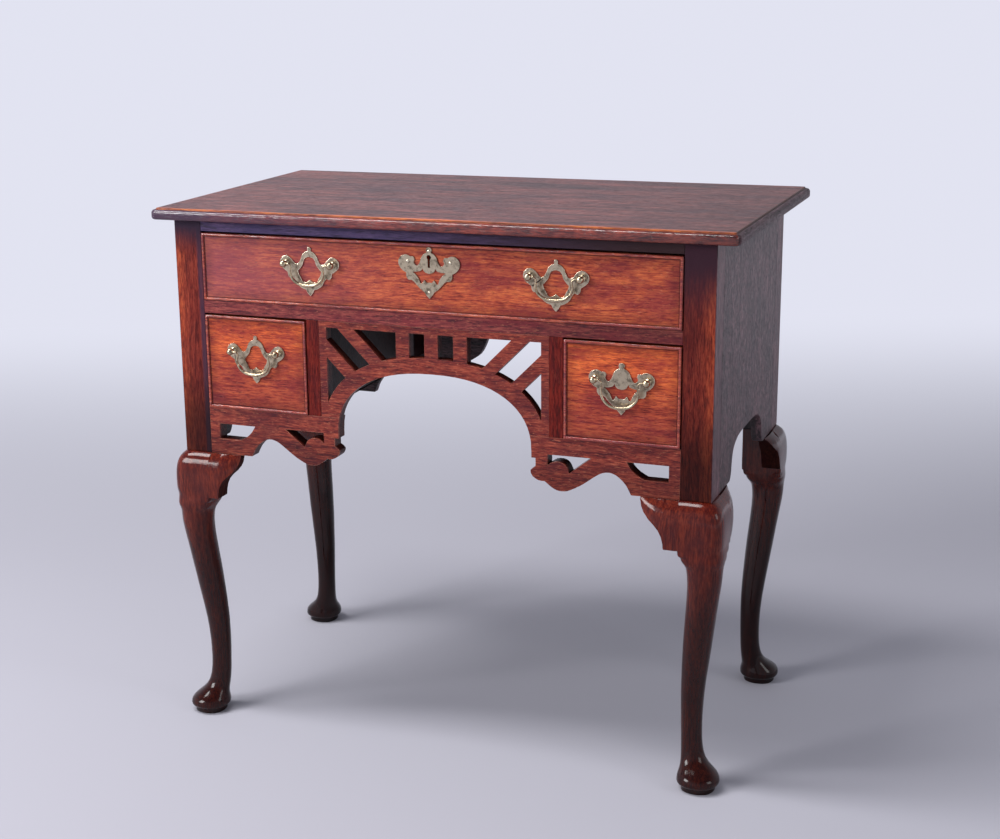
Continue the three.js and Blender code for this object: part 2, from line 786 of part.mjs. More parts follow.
function tailCorners(shoulderY, direction, length, low, high, count, gap) {
  const corners = [];
  const pitch = (high - low) / count;
  for (let tail = 0; tail < count; tail++) {
    const from = low + pitch * (tail + tailShares[0]) - gap;
    const to = low + pitch * (tail + tailShares[1]) + gap;
    const endY = shoulderY + direction * (length + gap);
    corners.push([
      [shoulderY, from], [endY, from - dovetailFlare], [endY, to + dovetailFlare], [shoulderY, to],
    ]);
  }
  return corners;
}

function cylinderAlongY(radius, x, z, low, high) {
  const geometry = new THREE.CylinderGeometry(radius, radius, high - low, roundSides);
  geometry.translate(x, (low + high) / 2, z);
  return geometry;
}

// Keyhole: a round hole over a slot that runs down from it
function keyholeCut(topZ, gap, low, high) {
  const round = solid(cylinderAlongY(keyholeRadius + gap, 0, topZ - keyholeRadius, low, high));
  const slot = box(
    [-keyholeSlotWidth / 2 - gap, low, topZ - keyholeLength - gap],
    [keyholeSlotWidth / 2 + gap, high, topZ - keyholeRadius],
  );
  return round.add(solid(slot));
}

// Handle plates: half outlines as shares of the half distance between the posts, from the top centre round
const openPlateEdgeShares = [
  [0, 0.655],
  { curve: [[0.055, 0.63], [0.075, 0.55], [0.06, 0.49]] },
  { curve: [[0.18, 0.45], [0.3, 0.33], [0.36, 0.18], [0.45, 0.02], [0.56, -0.03], [0.68, 0.05]] },
  { curve: [[0.8, 0.2], [0.98, 0.29], [1.17, 0.22], [1.27, 0.03], [1.22, -0.16], [1.05, -0.3],
    [0.95, -0.36]] },
  { curve: [[0.93, -0.5], [0.84, -0.6], [0.72, -0.56]] },
  { curve: [[0.62, -0.66], [0.52, -0.85], [0.34, -0.98], [0.17, -1.03]] },
  { curve: [[0.14, -1.12], [0.06, -1.22], [0, -1.28]] },
];
const openPlateHoleShares = [
  [0, 0.26],
  { curve: [[0.15, 0.22], [0.24, 0.1], [0.29, -0.06], [0.4, -0.2], [0.5, -0.3]] },
  { curve: [[0.46, -0.44], [0.38, -0.56], [0.33, -0.68]] },
  { curve: [[0.24, -0.74], [0.13, -0.72], [0, -0.62]] },
];
const shieldPlateEdgeShares = [
  [0, 0.64],
  { curve: [[0.08, 0.615], [0.115, 0.53], [0.08, 0.43]] },
  { curve: [[0.2, 0.38], [0.31, 0.24], [0.37, 0.06], [0.47, -0.07], [0.57, -0.04], [0.62, 0.05],
    [0.58, 0.16]] },
  { curve: [[0.64, 0.27], [0.76, 0.26]] },
  { curve: [[0.9, 0.33], [1.1, 0.29], [1.24, 0.12], [1.22, -0.1], [1.08, -0.27], [0.93, -0.35]] },
  { curve: [[0.93, -0.5], [0.85, -0.62], [0.72, -0.62]] },
  { curve: [[0.6, -0.7], [0.48, -0.84], [0.3, -1], [0.2, -1.06]] },
  { curve: [[0.14, -1.16], [0.06, -1.25], [0, -1.32]] },
];
const shieldPlateHoleShares = [
  [0, -0.36],
  { curve: [[0.14, -0.33], [0.22, -0.25], [0.26, -0.15]] },
  { curve: [[0.32, -0.25], [0.48, -0.3], [0.68, -0.31]] },
  { curve: [[0.54, -0.42], [0.42, -0.58], [0.36, -0.75], [0.28, -0.74], [0.2, -0.6]] },
  { curve: [[0.14, -0.68], [0.07, -0.71], [0, -0.7]] },
];

function handleOutline(shares) {
  return shapeOf(mirrored(tracePoints(shares.map((step) => {
    const place = ([x, z]) => [x * handleHalfSpan, z * handleHalfSpan];
    return step.curve ? { curve: step.curve.map(place) } : place(step);
  }), 2)));
}

function handlePlate(open, x, z) {
  const low = frontY - plateThickness;
  const edge = alongY(handleOutline(open ? openPlateEdgeShares : shieldPlateEdgeShares), low, frontY);
  const hole = alongY(
    handleOutline(open ? openPlateHoleShares : shieldPlateHoleShares), low - overrun, frontY + overrun,
  );
  return solid(edge).subtract(solid(hole)).translate([x, 0, z]);
}

function drilledPlate(plate, x, z) {
  let drilled = plate;
  for (const side of [-1, 1]) {
    const low = frontY - plateThickness - overrun;
    const holeX = x + side * handleHalfSpan;
    const hole = cylinderAlongY(postShankRadius + fitGap, holeX, z, low, frontY + overrun);
    drilled = drilled.subtract(solid(hole));
  }
  return drilled;
}

// Ball post: nut, shank, collar, neck and ball turned about Y, with an eye in the ball for the bail
function handlePost(x, z, inward) {
  const nutFace = drawerFrontThickness;
  const collarBack = -plateThickness;
  const ballCentre = collarBack - postStandoff;
  const profile = [
    [0, nutFace + postNutThickness], [postNutRadius, nutFace + postNutThickness], [postNutRadius, nutFace],
    [postShankRadius, nutFace], [postShankRadius, collarBack], [postCollarRadius, collarBack],
    [postCollarRadius, collarBack - postCollarLength], [postNeckRadius, collarBack - postNeckStart],
  ];
  const start = Math.asin(postNeckRadius / postBallRadius);
  const arcSteps = 5;
  for (let step = 0; step <= arcSteps; step++) {
    const angle = start + (Math.PI - start) * step / arcSteps;
    const radius = step === arcSteps ? 0 : postBallRadius * Math.sin(angle);
    profile.push([radius, ballCentre + postBallRadius * Math.cos(angle)]);
  }
  const points = profile.reverse().map((pair) => new THREE.Vector2(...pair));
  const turned = new THREE.LatheGeometry(points, roundSides);
  turned.translate(x, frontY, z);
  const eyeLength = 2 * postBallRadius;
  const eyeRadius = bailEndRadius + slideGap;
  const eye = new THREE.CylinderGeometry(eyeRadius, eyeRadius, eyeLength, roundSides);
  eye.rotateZ(Math.PI / 2);
  eye.translate(x + inward * eyeLength / 2 - inward * bailEndRadius, frontY + ballCentre, z);
  return solid(turned).subtract(solid(eye));
}

// Bail: out of one ball, down in a round loop and into the other, thickest at the bottom.
// The loop as shares of the arm's distance from the middle and of the drop
const bailLoopShares = [[1, 0.16], [1.04, 0.4], [0.93, 0.68], [0.62, 0.9], [0.3, 0.985], [0, 1]];

function bail(x, z, bailDrop) {
  const armX = handleHalfSpan - bailArmInset;
  const half = [
    [handleHalfSpan, 0], [armX + bailArmInset / 2, 0], [armX + bailEndRadius, -bailEndRadius / 2],
    ...bailLoopShares.map(([out, down]) => [armX * out, -bailDrop * down]),
  ];
  const knots = [...half, ...half.slice(0, -1).reverse().map(([a, b]) => [-a, b])];
  const curve = new THREE.CatmullRomCurve3(
    knots.map(([a, b]) => new THREE.Vector3(a, 0, b)), false, 'centripetal',
  );
  const steps = 40;
  const sides = 8;
  const rings = [];
  for (let step = 0; step <= steps; step++) {
    const along = step / steps;
    const point = curve.getPointAt(along);
    const tangent = curve.getTangentAt(along);
    const normal = new THREE.Vector3(-tangent.z, 0, tangent.x);
    const depth = Math.min(1, Math.max(0, -point.z / bailDrop));
    const radius = bailEndRadius + (bailMiddleRadius - bailEndRadius) * depth;
    const ring = [];
    for (let side = 0; side < sides; side++) {
      const angle = side * 2 * Math.PI / sides;
      const spot = point.clone();
      spot.addScaledVector(normal, radius * Math.cos(angle));
      spot.y -= radius * Math.sin(angle);
      ring.push(spot);
    }
    rings.push(ring);
  }
  const geometry = loft(rings);
  geometry.translate(x, frontY - plateThickness - postStandoff, z);
  return geometry;
}

function addHandle(name, open, drop, x, z) {
  add(`${name}_plate`, geometryOf(drilledPlate(handlePlate(open, x, z), x, z)), brass);
  for (const [sideName, side] of [['left', -1], ['right', 1]]) {
    add(`${name}_post_${sideName}`, geometryOf(handlePost(x + side * handleHalfSpan, z, -side)), brass);
  }
  add(`${name}_bail`, bail(x, z, drop), brass);
}

// A drawer: dovetailed sides and back, a grooved-in bottom and a beaded front
function addDrawer({ name, centre, width, bottom, height, tails, handles, locked }) {
  const low = bottom + slideGap;
  const high = bottom + height - drawerTopGap;
  const half = width / 2 - drawerSideGap;
  const shoulderY = frontY + drawerFrontThickness;
  const endY = frontY + drawerLength;
  const sideTop = high - drawerSideDrop;
  const backTop = sideTop - drawerBackDrop;
  const grooveLow = low + drawerGrooveHeight;
  const grooveHigh = grooveLow + drawerBottomThickness;
  const backBottom = grooveHigh + fitGap;
  const innerHalf = half - drawerSideThickness;

  const sideTails = (gap) => [
    ...tailCorners(shoulderY, -1, dovetailLength, low, sideTop, tails, gap),
    ...tailCorners(endY - drawerSideThickness, 1, drawerSideThickness, backBottom, backTop, tails, gap),
  ];
  const tailCuts = (side) => sideTails(fitGap).map((corners) => {
    const spread = corners.map(([y, z]) => new THREE.Vector2(y, z));
    const inner = innerHalf - fitGap;
    const outer = half + overrun;
    const ends = [centre + side * inner, centre + side * outer].sort((a, b) => a - b);
    return solid(alongX(shapeOf(spread), ...ends));
  });

  let front = solid(box([centre - half, frontY, low], [centre + half, shoulderY, high]));
  const rim = rectangle([centre - half, low], [centre + half, high]);
  const field = rectangle(
    [centre - half + beadWidth, low + beadWidth], [centre + half - beadWidth, high - beadWidth],
  ).reverse();
  front = front.add(solid(alongY(shapeOf(rim, [field]), frontY - beadProud, frontY + beadProud)));
  for (const side of [-1, 1]) {
    const cutters = tailCuts(side);
    for (const cutter of cutters.slice(0, tails)) front = front.subtract(cutter);
  }
  const frontGroove = box(
    [centre - innerHalf - drawerGrooveDepth, shoulderY - drawerGrooveDepth, grooveLow - fitGap],
    [centre + innerHalf + drawerGrooveDepth, shoulderY + overrun, grooveHigh + fitGap],
  );
  front = front.subtract(solid(frontGroove));
  for (const handle of handles) {
    for (const side of [-1, 1]) {
      const x = handle.x + side * handleHalfSpan;
      const radius = postShankRadius + fitGap;
      const hole = cylinderAlongY(radius, x, handle.z, frontY - overrun, shoulderY + overrun);
      front = front.subtract(solid(hole));
    }
  }
  if (locked) {
    const pocket = box(
      [-lockWidth / 2 - fitGap, lockFrontY - fitGap, high - lockHeight - fitGap],
      [lockWidth / 2 + fitGap, shoulderY + overrun, high + overrun],
    );
    front = front.subtract(solid(pocket));
    front = front.subtract(keyholeCut(high - keyholeTopDrop, fitGap, frontY - overrun, lockFrontY + overrun));
  }
  add(`${name}_front`, geometryOf(front), frontOak);

  for (const [sideName, side] of [['left', -1], ['right', 1]]) {
    const ends = [centre + side * innerHalf, centre + side * half].sort((a, b) => a - b);
    const outline = rectangle([shoulderY, low], [endY - drawerSideThickness, sideTop]);
    let board = solid(alongX(shapeOf(outline), ...ends));
    for (const corners of sideTails(0)) {
      const spread = corners.map(([y, z]) => new THREE.Vector2(y, z));
      board = board.add(solid(alongX(shapeOf(spread), ...ends)));
    }
    const grooveEnds = [
      centre + side * (innerHalf - overrun), centre + side * (innerHalf + drawerGrooveDepth),
    ].sort((a, b) => a - b);
    const groove = box(
      [grooveEnds[0], shoulderY - dovetailLength - overrun, grooveLow - fitGap],
      [grooveEnds[1], endY + overrun, grooveHigh + fitGap],
    );
    add(`${name}_side_${sideName}`, geometryOf(board.subtract(solid(groove))), insideOak);
  }

  const backInnerY = endY - drawerSideThickness;
  let back = solid(box([centre - half, backInnerY, backBottom], [centre + half, endY, backTop]));
  for (const side of [-1, 1]) {
    for (const cutter of tailCuts(side).slice(tails)) back = back.subtract(cutter);
  }
  add(`${name}_back`, geometryOf(back), insideOak);

  const tongue = drawerGrooveDepth - fitGap;
  add(`${name}_bottom`, box(
    [centre - innerHalf - tongue, shoulderY - tongue, grooveLow],
    [centre + innerHalf + tongue, endY, grooveHigh],
  ), insideOak);
}

const topHandleZ = middleRailTop + topHandleRise;
const smallHandleZ = apronTop + smallHandleRise;
const smallCentre = (innerX + partitionOuterX) / 2;

addDrawer({
  name: 'top_drawer',
  centre: 0,
  width: 2 * innerX,
  bottom: middleRailTop,
  height: topDrawerHeight,
  tails: 3,
  handles: [{ x: -topHandleOffset, z: topHandleZ }, { x: topHandleOffset, z: topHandleZ }],
  locked: true,
});
for (const [sideName, side] of [['left', -1], ['right', 1]]) {
  addDrawer({
    name: `${sideName}_drawer`,
    centre: side * smallCentre,
    width: smallDrawerWidth,
    bottom: apronTop,
    height: smallDrawerHeight,
    tails: 4,
    handles: [{ x: side * smallCentre, z: smallHandleZ }],
    locked: false,
  });
}

addHandle('top_left_handle', true, topBailDrop, -topHandleOffset, topHandleZ);
addHandle('top_right_handle', true, topBailDrop, topHandleOffset, topHandleZ);
addHandle('left_handle', true, smallBailDrop, -smallCentre, smallHandleZ);
addHandle('right_handle', false, longBailDrop, smallCentre, smallHandleZ);

// Escutcheon over the keyhole, and the lock let into the back of the drawer front
const drawerTopEdge = topRailBottom - drawerTopGap;
const keyholeTop = drawerTopEdge - keyholeTopDrop;
const escutcheonPlate = handlePlate(false, 0, middleRailTop + escutcheonRise);
const escutcheonCut = keyholeCut(keyholeTop, 0, frontY - plateThickness - overrun, frontY + overrun);
add('escutcheon', geometryOf(escutcheonPlate.subtract(escutcheonCut)), brass);

const lockBottom = drawerTopEdge - lockHeight;
const boltPocket = box(
  [-boltWidth / 2 - fitGap, boltY[0] - fitGap, drawerTopEdge - boltLength - fitGap],
  [boltWidth / 2 + fitGap, boltY[1] + fitGap, drawerTopEdge + overrun],
);
const lockBody = solid(box(
  [-lockWidth / 2, lockFrontY, lockBottom],
  [lockWidth / 2, lockFrontY + lockThickness, drawerTopEdge],
));
const keyWell = keyholeCut(keyholeTop, fitGap, lockFrontY - overrun, boltY[0] - 2 * fitGap);
add('lock', geometryOf(lockBody.subtract(solid(boltPocket)).subtract(keyWell)), iron);
add('lock_bolt', box(
  [-boltWidth / 2, boltY[0], drawerTopEdge - boltLength],
  [boltWidth / 2, boltY[1], drawerTopEdge],
), iron);

export default lowboy;
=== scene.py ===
import json
import math

import bpy
from mathutils import Matrix, Vector


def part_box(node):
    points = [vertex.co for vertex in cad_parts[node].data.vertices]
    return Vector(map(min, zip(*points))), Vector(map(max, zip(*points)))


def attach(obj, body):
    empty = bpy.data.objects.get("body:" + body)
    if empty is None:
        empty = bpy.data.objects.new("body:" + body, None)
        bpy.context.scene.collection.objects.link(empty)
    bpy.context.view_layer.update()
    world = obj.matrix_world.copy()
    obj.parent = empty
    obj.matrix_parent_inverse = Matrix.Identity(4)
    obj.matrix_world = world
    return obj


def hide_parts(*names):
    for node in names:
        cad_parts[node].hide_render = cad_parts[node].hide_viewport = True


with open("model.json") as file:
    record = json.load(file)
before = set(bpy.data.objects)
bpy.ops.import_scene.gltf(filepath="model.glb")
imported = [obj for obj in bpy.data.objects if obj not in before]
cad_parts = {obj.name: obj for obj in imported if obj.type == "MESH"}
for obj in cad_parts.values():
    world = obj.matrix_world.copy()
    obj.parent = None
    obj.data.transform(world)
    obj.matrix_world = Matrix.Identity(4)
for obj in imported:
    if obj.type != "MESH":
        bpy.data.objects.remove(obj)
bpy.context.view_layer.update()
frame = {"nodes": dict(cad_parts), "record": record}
nodes = frame["nodes"]
bodyOf = {node: body for body, members in frame["record"]["behaviour"]["bodies"].items() for node in members}
slotOf = {row["node"]: row["material_slot"] for row in frame["record"]["subparts"]}

print("frame loaded,", len(nodes), "pieces from the workshop drawing")


# camera, where the photographer stood

photoCamera = {
    "place": (0.8113, -2.1439, 1.0195),
    "turn": 22.598,    # degrees left of straight back
    "tip": 14.862,     # degrees down
    "roll": -1.0235,
    "lens": 61.93,
    "sensor": 36,
    "shift": (0.0654, -0.0052),
}


def makeCamera(values):
    turn, tip, roll = (math.radians(values[key]) for key in ("turn", "tip", "roll"))
    look = Vector((-math.sin(turn) * math.cos(tip), math.cos(turn) * math.cos(tip), -math.sin(tip)))
    right = Vector((math.cos(turn), math.sin(turn), 0))
    up = right.cross(look)
    rightRolled = math.cos(roll) * right + math.sin(roll) * up
    upRolled = math.cos(roll) * up - math.sin(roll) * right
    data = bpy.data.cameras.new("photo_camera")
    data.sensor_width = values["sensor"]
    data.lens = values["lens"]
    data.shift_x, data.shift_y = values["shift"]
    camera = bpy.data.objects.new("photo_camera", data)
    bpy.context.scene.collection.objects.link(camera)
    turned = Matrix((rightRolled, upRolled, -look)).transposed().to_4x4()
    camera.matrix_world = Matrix.Translation(values["place"]) @ turned
    bpy.context.scene.camera = camera


makeCamera(photoCamera)
print("camera set")


# helpers for modelling

near = 0.0001    # metres; places closer than this count as the same
facing = 0.9    # how much of a normal points a way when its face counts as facing it
cleaning = {"merge": 0.00001, "flat": 1}    # metres and degrees


def pickOnly(*pieces):
    if bpy.context.object and bpy.context.object.mode != "OBJECT":
        bpy.ops.object.mode_set(mode="OBJECT")
    bpy.ops.object.select_all(action="DESELECT")
    for piece in pieces:
        piece.select_set(True)
    bpy.context.view_layer.objects.active = pieces[-1]


def clearMarks(piece, mode):
    pickOnly(piece)
    bpy.ops.object.mode_set(mode="EDIT")
    bpy.ops.mesh.select_mode(type=mode)
    bpy.ops.mesh.select_all(action="DESELECT")
    bpy.ops.object.mode_set(mode="OBJECT")


def editFaces(piece, test):    # into edit mode with the faces that pass the test selected
    clearMarks(piece, "FACE")
    for face in piece.data.polygons:
        face.select = bool(test(face.center, face.normal))
    bpy.ops.object.mode_set(mode="EDIT")


def editEdges(piece, test):    # the same for edges, tested by their two ends
    clearMarks(piece, "EDGE")
    for edge in piece.data.edges:
        a, b = (piece.data.vertices[index].co for index in edge.vertices)
        edge.select = bool(test(a, b))
    bpy.ops.object.mode_set(mode="EDIT")


def leaveEdit():
    bpy.ops.object.mode_set(mode="OBJECT")


def applyPlace(piece):
    pickOnly(piece)
    bpy.ops.object.transform_apply(location=True, rotation=True, scale=True)


def addBlock(name, low, high):
    low, high = Vector(low), Vector(high)
    bpy.ops.object.select_all(action="DESELECT")
    bpy.ops.mesh.primitive_cube_add(size=1, location=(low + high) / 2, scale=high - low)
    block = bpy.context.object
    block.name = name
    applyPlace(block)
    return block


def applyModifier(piece, kind, **values):
    pickOnly(piece)
    modifier = piece.modifiers.new(kind.lower(), kind)
    for key, value in values.items():
        setattr(modifier, key, value)
    bpy.ops.object.modifier_apply(modifier=modifier.name)


def giveFinish(piece, *materials):    # the first on all of it, the next ones for its worn edges and beads
    piece.data.materials.clear()
    for material in materials:
        piece.data.materials.append(material)


def copyOfNode(node, *materials, whole=True):    # a merged copy of a frame piece, its flat faces whole again
    piece = bpy.data.objects.new(node + "_finished", nodes[node].data.copy())
    bpy.context.scene.collection.objects.link(piece)
    giveFinish(piece, *materials)
    pickOnly(piece)
    bpy.ops.object.mode_set(mode="EDIT")
    bpy.ops.mesh.select_mode(type="FACE")
    bpy.ops.mesh.select_all(action="SELECT")
    bpy.ops.mesh.remove_doubles(threshold=cleaning["merge"])
    if whole:
        bpy.ops.mesh.dissolve_limited(angle_limit=math.radians(cleaning["flat"]))
    else:
        bpy.ops.mesh.tris_convert_to_quads()
    leaveEdit()
    return piece


def softenEdges(piece, width, segments=2, angle=30, worn=False):    # worn: the bevels get the next material
    pickOnly(piece)
    bpy.ops.object.shade_smooth()
    applyModifier(piece, "BEVEL", width=width, segments=segments, limit_method="ANGLE",
                  angle_limit=math.radians(angle), use_clamp_overlap=True, material=1 if worn else -1)
    applyModifier(piece, "WEIGHTED_NORMAL", keep_sharp=True)


def joinPieces(*pieces):    # into the last one
    pickOnly(*pieces)
    bpy.ops.object.join()
    return bpy.context.object


def smoothBelow(piece, angle):
    pickOnly(piece)
    bpy.ops.object.shade_smooth_by_angle(angle=math.radians(angle))


def mirroredCopy(piece, name, signs):
    twin = bpy.data.objects.new(name, piece.data.copy())
    bpy.context.scene.collection.objects.link(twin)
    twin.scale = signs
    applyPlace(twin)
    if signs[0] * signs[1] < 0:
        bpy.ops.object.mode_set(mode="EDIT")
        bpy.ops.mesh.select_all(action="SELECT")
        bpy.ops.mesh.normals_make_consistent(inside=False)
        leaveEdit()
    return twin


def install(piece, node):    # the piece takes the place of a frame piece and moves with its body
    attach(piece, bodyOf[node])
    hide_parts(node)


# helpers for finishes

def addNode(tree, kind, inputs=None, **values):
    made = tree.nodes.new("ShaderNode" + kind)
    for key, value in values.items():
        setattr(made, key, value)
    for key, value in (inputs or {}).items():
        if isinstance(value, bpy.types.NodeSocket):
            tree.links.new(value, made.inputs[key])
        else:
            made.inputs[key].default_value = value
    return made


def sums(tree, operation, first, second):
    return addNode(tree, "Math", {0: first, 1: second}, operation=operation).outputs[0]


def ramp(tree, factor, stops):
    made = addNode(tree, "ValToRGB", {"Fac": factor})
    elements = made.color_ramp.elements
    while len(elements) < len(stops):
        elements.new(0.5)
    for element, (position, colour) in zip(elements, stops):
        element.position = position
        element.color = (*colour, 1)
    return made.outputs["Color"]


def mask(tree, factor, low, high):    # 0 at low, 1 at high, smooth between; low may be the larger
    inputs = {"Value": factor, "From Min": min(low, high), "From Max": max(low, high),
              "To Min": 0 if low < high else 1, "To Max": 1 if low < high else 0}
    return addNode(tree, "MapRange", inputs, interpolation_type="SMOOTHSTEP").outputs["Result"]


def blend(tree, factor, first, second, mode="MIX"):
    made = addNode(tree, "Mix", data_type="RGBA", blend_type=mode)
    for index, value in ((0, factor), (6, first), (7, second)):
        if isinstance(value, bpy.types.NodeSocket):
            tree.links.new(value, made.inputs[index])
        else:
            made.inputs[index].default_value = (*value, 1) if isinstance(value, tuple) else value
    return made.outputs[2]


def darken(tree, factor, colour, amount):    # where the factor is 1, the colour falls to that share
    return blend(tree, factor, colour, tint(tree, colour, (amount, amount, amount)))


def axisOf(tree, coords, letter):
    return addNode(tree, "SeparateXYZ", {"Vector": coords}).outputs[letter]


def tint(tree, colour, amounts):
    return blend(tree, 1.0, colour, amounts, "MULTIPLY")


def darkenAlong(marks):    # each mark: axis, where it starts, where it is full, what it leaves of the colour; it darkens for wear and for painted shade alike
    def shade(tree, raw, shifted, colour):
        for letter, start, full, left in marks.values():
            colour = darken(tree, mask(tree, axisOf(tree, raw, letter), start, full), colour, left)
        return colour
    return shade


def fromFace(face, reaches):    # a mark's start and end, given as distances from a face
    return [face + reach for reach in reaches]


def stretchedNoise(tree, coords, along, length, width, detail=4.0, roughness=0.55, distortion=0.0):
    scale = [1 / width] * 3
    scale["XYZ".index(along)] = 1 / length
    stretched = addNode(tree, "Mapping", {"Vector": coords, "Scale": scale})
    noise = addNode(tree, "TexNoise", {
        "Vector": stretched.outputs[0], "Scale": 1, "Detail": detail, "Roughness": roughness,
        "Distortion": distortion,
    })
    return noise.outputs["Fac"]


def edgeDistance(tree, coords, low, high, letters="XZ"):    # how far inside the piece's outline a point is
    nearest = None
    for letter in letters:
        place = axisOf(tree, coords, letter)
        index = "XYZ".index(letter)
        inside = sums(tree, "MINIMUM", sums(tree, "SUBTRACT", place, low[index]),
                      sums(tree, "SUBTRACT", high[index], place))
        nearest = inside if nearest is None else sums(tree, "MINIMUM", nearest, inside)
    return nearest


# oak: fine grain, pores, ray flecks and clouds of old polish, measured in metres

frontOak = {
    "pale": (0.7, 0.165, 0.058), "mid": (0.48, 0.083, 0.04), "dark": (0.22, 0.027, 0.021),
    "cloud": (0.22, 0.024, 0.034), "cloudAmount": 0.65, "cloudSize": 0.03,
    "fleck": (0.74, 0.26, 0.14), "fleckAmount": 0.3,
    "poreAmount": 0.7, "poreLength": 0.007, "poreWidth": 0.0009,
    "shine": 0.2, "roughness": 0.38, "bump": 0.3, "waves": 0.2, "depth": 0.0006,
}
fretOak = {**frontOak,
           "pale": (0.42, 0.088, 0.05), "mid": (0.225, 0.033, 0.024), "dark": (0.075, 0.011, 0.014),
           "cloud": (0.08, 0.012, 0.018), "fleckAmount": 0.35}
fretEdge = {**fretOak, "pale": (0.66, 0.3, 0.2), "mid": (0.42, 0.15, 0.09), "dark": (0.16, 0.04, 0.03),
            "cloudAmount": 0.35}
railOak = {**frontOak, "pale": (0.36, 0.08, 0.065), "mid": (0.19, 0.033, 0.036), "dark": (0.06, 0.012, 0.02)}
# the top rail dark and bluish: dirt, with painted shade under the top's overhang and a painted cool sheen
topRailDirtAndShadeOak = {**frontOak, "pale": (0.11, 0.07, 0.16), "mid": (0.065, 0.042, 0.11),
              "dark": (0.03, 0.018, 0.045), "fleckAmount": 0, "cloud": (0.045, 0.032, 0.1)}
postOak = {**frontOak,
           "pale": (0.37, 0.06, 0.034), "mid": (0.23, 0.027, 0.019), "dark": (0.1, 0.012, 0.011),
           "cloud": (0.055, 0.009, 0.014), "cloudAmount": 0.4, "fleckAmount": 0.05, "shine": 0.12}
muntinOak = {**postOak,
             "pale": (0.22, 0.022, 0.013), "mid": (0.12, 0.009, 0.007), "dark": (0.05, 0.005, 0.005)}
legOak = {**frontOak, "pale": (0.18, 0.024, 0.009), "mid": (0.1, 0.01, 0.005), "dark": (0.05, 0.004, 0.003),
          "cloud": (0.03, 0.003, 0.007), "cloudAmount": 0.35, "fleckAmount": 0.02, "poreAmount": 0.3,
          "shine": 0.28, "roughness": 0.085, "bump": 0.06, "waves": 0.14}
topOak = {**frontOak, "pale": (0.31, 0.092, 0.07), "mid": (0.17, 0.048, 0.042), "dark": (0.04, 0.011, 0.013),
          "cloud": (0.04, 0.014, 0.02), "cloudAmount": 0.6, "cloudSize": 0.07, "fleckAmount": 0.05,
          "shine": 0.13, "roughness": 0.34, "bump": 0.8, "waves": 0.4}
# the fillet's bright orange is painted light where it faces the lamp along the front; it is darker round the
# sides
filletPaintedLightOak = {**frontOak, "pale": (0.62, 0.19, 0.045), "mid": (0.4, 0.095, 0.025), "dark": (0.14, 0.025, 0.01),
             "cloud": (0.1, 0.02, 0.012), "shine": 0.25}
noseOak = {**topOak, "pale": (0.36, 0.065, 0.04), "mid": (0.21, 0.034, 0.026), "dark": (0.06, 0.01, 0.012),
           "cloud": (0.02, 0.007, 0.014), "cloudSize": 0.02, "shine": 0.6, "roughness": 0.13,
           "bump": 0.3, "waves": 0.35}
sideOak = {**frontOak, "pale": (0.25, 0.125, 0.14), "mid": (0.13, 0.062, 0.072), "dark": (0.03, 0.014, 0.018),
           "cloud": (0.05, 0.03, 0.04), "cloudAmount": 0.5, "cloudSize": 0.06, "fleck": (0.2, 0.13, 0.12),
           "fleckAmount": 0.2, "poreAmount": 1, "poreLength": 0.008, "poreWidth": 0.0022,
           "shine": 0.4, "roughness": 0.42, "bump": 1.0, "waves": 0.6, "depth": 0.0018}
topSideOak = {**sideOak, "pale": (0.14, 0.075, 0.085), "mid": (0.075, 0.037, 0.043), "shine": 0.15}
drawerOak = {**frontOak, "pale": (0.3, 0.175, 0.1), "mid": (0.21, 0.115, 0.062), "dark": (0.11, 0.06, 0.034),
             "cloud": (0.12, 0.075, 0.05), "cloudAmount": 0.4,
             "fleck": (0.36, 0.25, 0.16), "fleckAmount": 0.2,
             "shine": 0.1, "roughness": 0.7, "bump": 0.5}
# case-inside boards near black: dark old wood, darkened further as painted shade
darkWoodAndShadeOak = {**drawerOak,
           "pale": (0.016, 0.007, 0.005), "mid": (0.009, 0.004, 0.003), "dark": (0.005, 0.002, 0.002),
           "cloud": (0.006, 0.003, 0.003), "fleckAmount": 0, "shine": 0.03}

oakFigure = {
    "grain": (0.012, 0.0016), "grainShare": 0.55, "streak": (0.055, 0.0045), "streakShare": 0.45,
    "ray": (0.007, 0.0016),    # length and width of each
    "stops": (0.38, 0.49, 0.62),    # where the noise is dark, mid and pale
    "clouds": (0.42, 0.66), "flecks": (0.58, 0.72), "pores": (0.57, 0.68),    # where they start and are full
    "poreDark": 0.3,
}
oakSurface = {
    "apart": (0.37, 0.53, 0.71), "turn": (0.01, 0.012),    # no two boards show the same grain
    "wander": 0.012, "wanderScale": 5,
    "dull": 1.4, "glossy": 0.65, "hollowScale": 26, "hollowDepth": 0.003, "poreDepth": 0.6,
}
oakNumber = 0


def oakColour(tree, coords, shifted, along, look):
    figure = oakFigure
    grain = stretchedNoise(tree, coords, along, *figure["grain"], detail=3)
    streak = stretchedNoise(tree, coords, along, *figure["streak"], detail=3)
    blended = sums(tree, "ADD", sums(tree, "MULTIPLY", grain, figure["grainShare"]),
                   sums(tree, "MULTIPLY", streak, figure["streakShare"]))
    colour = ramp(tree, blended, list(zip(figure["stops"], (look["dark"], look["mid"], look["pale"]))))
    size = look["cloudSize"]
    clouds = stretchedNoise(tree, shifted, along, 2 * size, size, detail=5, roughness=0.62)
    amount = sums(tree, "MULTIPLY", mask(tree, clouds, *figure["clouds"]), look["cloudAmount"])
    colour = blend(tree, amount, colour, look["cloud"])
    rays = stretchedNoise(tree, coords, along, *figure["ray"], detail=2, distortion=0.6)
    flecks = sums(tree, "MULTIPLY", mask(tree, rays, *figure["flecks"]), look["fleckAmount"])
    colour = blend(tree, flecks, colour, look["fleck"])
    openGrain = stretchedNoise(tree, coords, along, look["poreLength"], look["poreWidth"], detail=2)
    pores = mask(tree, openGrain, *figure["pores"])
    dirt = sums(tree, "MULTIPLY", pores, look["poreAmount"])
    return grain, pores, darken(tree, dirt, colour, figure["poreDark"])


